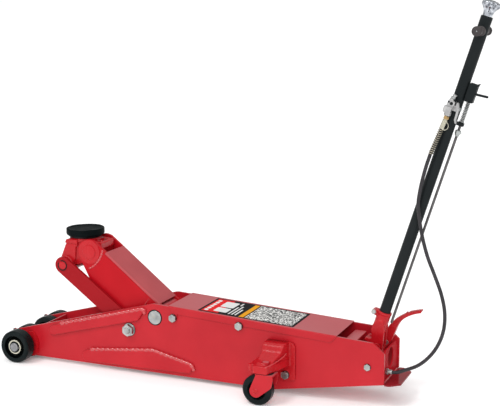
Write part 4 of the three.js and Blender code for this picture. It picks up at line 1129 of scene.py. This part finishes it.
# ---------------------------------------------------------------- handle, in its own upright frame
def handle_socket():
    pivot = UPRIGHT.inverted() @ Vector((HANDLE_PIVOT[0], 0, HANDLE_PIVOT[1]))
    shells = []
    for side, _ in SIDES:
        y = span(side, 14.5, 27)
        shells.append(prism(belt((pivot.x, pivot.z, 22), (-2, 76, 20), (10, 76, 14)), *y))
        shells.append(slab([(pivot.x, 0), (-34, 14, 2), (-32, 24, 2), (0, 30)], *y))
    shells.append(prism([(-34, 14), (-11, 9), (-9, 20), (-32, 24)], -27, 27))
    shells.append(prism(belt((-2, 62, 20), (6, 62, 16), (0, 84, 20)), -27, 27))
    shells.append(disc(24.8, 60, 134, (0, 0, 0), "z", 1))
    shells.append(disc(26.5, 125, 134.3, (0, 0, 0), "z", 2))
    shells.append(prism(belt((-34, 122, 10), (-18, 122, 12)), -13, 13))
    solid = cut(cast(join(*shells), 1.3, 4), disc(20.2, 71.8, 150, (0, 0, 0), "z", 0.1),
        block(-60, -24, -1.1, 1.1, 100, 150), disc(11.2, -40, 40, pivot, edge=0.1),
        disc(5.3, -30, 30, (-35.3, 0, 122), edge=0.1))
    handle_piece("socket_casting", solid, RED_CAST, "handle_socket", soft=True)
    at = (-35.3, 0, 122)
    bolt = join(disc(5, -14, 19, at), disc(8.6, -14.6, -13, at, edge=0.4), hexagon(15, -14.4, -20, at),
        disc(8.6, 13, 14.6, at, edge=0.4), hexagon(15, 14.4, 20, at))
    handle_piece("socket_bolt", bolt, ZINC, "clamp_bolt")


GRIP_Z = 1169.8


def handle_tube():
    origin = (0, 0, 0)
    top = 1219.3
    bar = collar(17, 20, 72, top, origin, "z", 0.8, 64)
    handle_piece("tube", bar, BLACK, "handle_tube")
    at = (0, 0, GRIP_Z)
    ribs = []
    for k in range(12):
        y = -86 + k * 4.4
        ribs += [(11.0, y), (11.6, y + 1.1), (11.6, y + 2.2), (11.0, y + 3.3)]
    near = rounded([(0, -94, 1), (3.5, -94, 0.5), (4.2, -96, 0.5), (15, -96, 1), (16.5, -94.5, 1),
        (16.5, -91.5, 1), (15, -90, 1), (11, -89, 1)], closed=False) + ribs
    near += rounded([(11, -29), (15, -28.5, 1), (16.5, -27, 1), (16.5, -22, 1), (15, -20.6, 1), (0, -20.6)],
        closed=False)
    far = rounded([(0, 20.6), (11, 20.6, 1), (11, 89), (15, 90, 1), (16.5, 91.5, 1), (16.5, 94.5, 1),
        (15, 96, 1), (4.2, 96, 0.5), (3.5, 94, 0.5), (0, 94)], closed=False)
    grips = join(turned(near, at), turned(far, at), disc(5.6, -20.8, 20.8, at))
    handle_piece("grips", grips, GRIP_RUBBER, "grip_spool")
    ends = join(hexagon(5, -94.2, -95.2, at), disc(5, 93.8, 94.8, at, edge=0.3))
    handle_piece("grip_screws", ends, STEEL)


def release_knob():
    profile = [(0, 1185), (9, 1185), (9, 1219.9), (15.3, 1219.9), (16.2, 1221), (16.2, 1226), (17.2, 1233),
        (19.5, 1240), (23, 1246), (27, 1250.4), (29.8, 1253), (30.8, 1256), (31, 1262), (30.2, 1266),
        (27.5, 1268.8), (23, 1269.6), (21.5, 1270.4), (19, 1271.8), (10, 1272), (0, 1272)]

    def lobes(angle, height):
        depth = min(1, max(0, (height - 1238) / 14)) * (1 if height < 1269 else 0.4)
        return 1 - 0.14 * depth * (0.5 - 0.5 * math.cos(9 * angle)) ** 2.2

    knob = turned(profile, (0, 0, 0), "z", 144, scallop=lobes)
    handle_piece("knob", knob, CHROME, "release_knob", body="release_knob")
    handle_piece("knob_insert", disc(11, 1271.4, 1273, (0, 0, 0), "z", 0.6), BLACK, body="release_knob")


ROD_X = 35


def lock_rod():
    at = (ROD_X, 0, 0)
    channel = [(20.4, -16, 1), (50, -16, 4), (50, 16, 4), (20.4, 16, 1), (20.4, 13, 1), (47, 13, 2),
        (47, -13, 2), (20.4, -13, 1)]
    sheet = cut(slab(channel, 935, 998, "z"), block(44, 60, -5.2, 5.2, 957, 991))
    floors = [cut(slab([(20.4, -14), (48.5, -14), (48.5, 14), (20.4, 14)], z, z + 3, "z"),
        disc(5.4, z - 3, z + 6, at, "z", 0.1, 32)) for z in (935.2, 993)]
    horn = slab([(44, 990), (50, 990), (53.5, 1003, 1), (49.5, 1003, 1), (44, 996)], -9, 9)
    handle_piece("lock_channel", join(eased(sheet, 0.8, clamp=True), *[eased(f, 0.5) for f in floors],
        eased(horn, 0.8)), BLACK, "lock_bracket")
    guide = cut(slab([(20.4, -12, 1), (46, -12, 6), (46, 12, 6), (20.4, 12, 1)], 850, 861, "z"),
        disc(5.4, 840, 870, at, "z", 0.1, 32))
    bush = collar(5, 8.2, 849.4, 863.4, at, "z", 0.8)
    handle_piece("rod_tab", join(eased(guide, 1.2), bush), BLACK, "rod_guide")
    rod = rounded([(0, 103), (3.2, 103, 0.5), (4.6, 105), (4.6, 983, 1), (3.2, 985, 0.5), (0, 985)],
        closed=False)
    handle_piece("rod", turned(rod, at, "z", 32), ROD_STEEL, "lock_rod", body="lock_rod")
    stop = join(collar(4.4, 10, 820, 833.6, at, "z", 1.2), collar(4.4, 7.6, 814, 820, at, "z", 0.8),
        disc(2.4, 9, 12, (ROD_X, 0, 827), "x", 0.4, 24), collar(4.4, 8.5, 864, 866.7, at, "z", 0.5))
    handle_piece("rod_collar", stop, ZINC, body="lock_rod", slot="steel")
    lever = [(ROD_X, 0, 965), (60, 0, 967.2), (84, 0, 969.5), (89.4, 0, 970)]
    handle_piece("rod_lever", tube(evenly(lever, 4), 4.2, 20, blunt=False), BLACK, body="lock_rod")
    spring = handle_piece("rod_coil", coil((ROD_X, 0, 867), (ROD_X, 0, 934.6), 7.2, 1.25, 12), ZINC,
        "rod_spring", slot="steel", soft=True)
    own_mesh(spring)


def air_valve():
    lower = slab([(-31, 884, 3), (-9, 878, 3), (-3, 884, 2), (-3, 904, 2), (-31, 904, 2)], -46, -20.5)
    upper = slab([(-25, 907, 2), (-1, 907, 2), (1, 914, 2), (0.5, 926, 3), (-23, 928, 3)], -44, -20.5)
    waist = slab([(-26, 902), (-2, 902), (-2, 909), (-24, 909)], -41, -21)
    parts = [eased(lower, 1.5, 3, clamp=True), eased(upper, 1.5, 3, clamp=True), waist,
        disc(12, 872.8, 886, (-13, -32, 0), "z", 2), disc(9.5, 922, 932, (-13, -32, 0), "z", 2),
        tube([(-16, -32, 924), (-8, -32, 948)], 5.6, 32), eased(block(-14, 14, -24, -20.4, 893, 912), 0.8),
        disc(4, -47.6, -45, (-23, 0, 889), edge=0.8, steps=24)]
    plugs = [disc(5.5, -46.5, -43, (-10, 0, 917), edge=1.2, steps=32),
        eased(hexagon(7, -46, -48, (-10, 0, 917)), 0.2),
        disc(3.4, -46, -43, (-20, 0, 920), edge=0.6, steps=24), disc(4, 926, 933, (-3, -38, 0), "z", 1)]
    handle_piece("valve_plugs", join(*plugs), BLACK)
    handle_piece("valve_casting", join(*parts), CASTING, "valve_body")
    strap = collar(19.9, 21.8, 896, 909, (0, 0, 0), "z", 0.5)
    inlet = [hexagon(15, 933, 940, (-12.4, -32, 0), "z"),
        collar(5.8, 8, 944, 947, (-9, -32, 0), "z", 0.6, 32)]
    handle_piece("valve_strap", join(strap, *inlet), ZINC)
    lever = rounded([(6, 926, 2), (12, 926, 2), (20, 906, 6), (22, 870, 5), (27, 858, 2), (22, 856, 2),
        (15, 868, 5), (13, 902, 6), (6, 914, 2)])
    trigger = join(eased(prism(lever, -41.6, -30.4), 1.4, 3, clamp=True),
        disc(3, -44.5, -28.6, (9, 0, 921), edge=0.6, steps=32))
    handle_piece("trigger", trigger, CASTING, "valve_trigger", body="valve_trigger")
    top, middle, end = Vector((-13, -31, 871)), Vector((-16.7, -30.5, 824)), Vector((-24.3, -30, 731))
    down = (middle - top).normalized()
    tilt = Matrix.Translation(top) @ down.to_track_quat("Z", "Y").to_matrix().to_4x4()
    nut = hexagon(16, 0, 11, (0, 0, 0), "z")
    nut.transform(tilt)
    handle_piece("hose_nut", nut, BRASS)
    crimps = [(0, 10), (6.4, 10), (6.4, 13), (8.2, 14)]
    for k in range(4):
        at = 16 + k * 6.5
        crimps += [(8.4, at), (8.4, at + 3.2), (7.7, at + 4.2), (7.7, at + 5.4)]
    crimps += [(8.4, 43), (8.4, 46), (6.4, 47), (0, 47)]
    sleeve = turned(crimps, axis="z", steps=48)
    sleeve.transform(tilt)
    handle_piece("hose_sleeve", sleeve, YELLOW_ZINC, "hose_ferrule")
    guard = coil(middle - down * 3, end, 8.1, 1.5, 13)
    handle_piece("hose_guard", guard, SPRING_WIRE, soft=True)
    loop = [(-6.5 + 11.5 * math.cos(math.radians(a)), -41.2, 838 + 13.5 * math.sin(math.radians(a)))
        for a in range(-165, 166, 6)]
    handle_piece("hose_ring", tube(loop, 1.1, 10), YELLOW_ZINC)
    inside = tube(evenly([middle - down * 2, end - (end - middle).normalized() * 0.5], 4), HOSE_R - 0.05,
        20)
    handle_piece("hose_in_guard", inside, HOSE_RUBBER)


# ---------------------------------------------------------------- studio
def studio():
    look = Finish("floor", specular_ior_level=0.2, emission_color=(1, 1, 1, 1), emission_strength=0.16)
    look.link("Base Color", look.mixed(look.scaled(look.noise(1.2, 3), 0.3, 0.7), (0.93, 0.93, 0.93),
        (0.95, 0.95, 0.95)))
    look.link("Roughness", look.scaled(look.noise(6, 3), 0.3, 0.7, 0.75, 0.9))
    floor = bmesh.new()
    bmesh.ops.create_circle(floor, cap_ends=True, radius=400, segments=64)
    mesh = bpy.data.meshes.new("floor")
    floor.to_mesh(mesh)
    floor.free()
    mesh.materials.append(look.material)
    obj = bpy.data.objects.new("floor", mesh)
    bpy.context.scene.collection.objects.link(obj)

    world = bpy.data.worlds.new("studio")
    bpy.context.scene.world = world
    world.use_nodes = True
    nodes, links = world.node_tree.nodes, world.node_tree.links
    direction = nodes.new("ShaderNodeTexCoord").outputs["Generated"]
    split = nodes.new("ShaderNodeSeparateXYZ")
    ramp = nodes.new("ShaderNodeValToRGB")
    links.new(direction, split.inputs[0])
    links.new(split.outputs["Z"], ramp.inputs[0])
    steps = ((0.0, 1.02), (0.045, 1.02), (0.09, 0.44), (0.30, 0.50), (0.65, 0.60), (1.0, 0.75))
    ramp.color_ramp.elements[0].position, ramp.color_ramp.elements[1].position = steps[0][0], steps[-1][0]
    for position, level in steps[1:-1]:
        ramp.color_ramp.elements.new(position)
    for element, (position, level) in zip(ramp.color_ramp.elements, steps):
        element.color = (level, level, level, 1)
    links.new(ramp.outputs[0], nodes["Background"].inputs[0])

    for name, strength, width, direction in (("key", 0.99, 30, (-0.45, 1.0, -0.75)),
            ("fill", 0.4, 70, (0.9, 0.9, -0.35)), ("top", 0.25, 60, (0.1, -0.3, -1.0)),
            ("spark", 0.85, 17, (0.2, 0.55, -0.8))):
        data = bpy.data.lights.new(name, "SUN")
        data.energy = strength
        data.angle = math.radians(width)
        lamp = bpy.data.objects.new(name, data)
        lamp.rotation_euler = Vector(direction).to_track_quat("-Z", "Y").to_euler()
        bpy.context.scene.collection.objects.link(lamp)
    bpy.context.scene.view_settings.view_transform = "Standard"


# ---------------------------------------------------------------- the whole jack
make_camera()
make_hose()
for side, tag in SIDES:
    side_plate(side, tag)
    upper_brace(side, tag)
    lower_brace(side, tag)
    link_bolt(side, tag)
    caster_bracket(side, tag)
    caster(tag)
    arm_side(side, tag)
top_cover()
label()
for node, flats, face, height, name in (("cover_bolt_front", 27, HALF_WIDTH + 4.1, 11, "cover_screw_front"),
        ("cover_bolt_rear", 27, HALF_WIDTH + 4.1, 11, "cover_screw_rear"),
        ("caster_tie_bolt", 27, HALF_WIDTH + 9.3, 11, "caster_screw"),
        ("rear_tie_bolt", 22, HALF_WIDTH + 0.3, 7, "rear_screw")):
    tie_bolt(node, flats, face, height, name)
axle_and_shaft()
front_cross_plate()
rear_frame()
for tag in ("outer_near", "inner_near", "inner_far", "outer_far"):
    front_wheel(tag)
arm_middle()
link_bars()
saddle_bracket()
saddle()
ram()
pump()
hose_port()
pedal()
handle_socket()
handle_tube()
release_knob()
lock_rod()
air_valve()
studio()
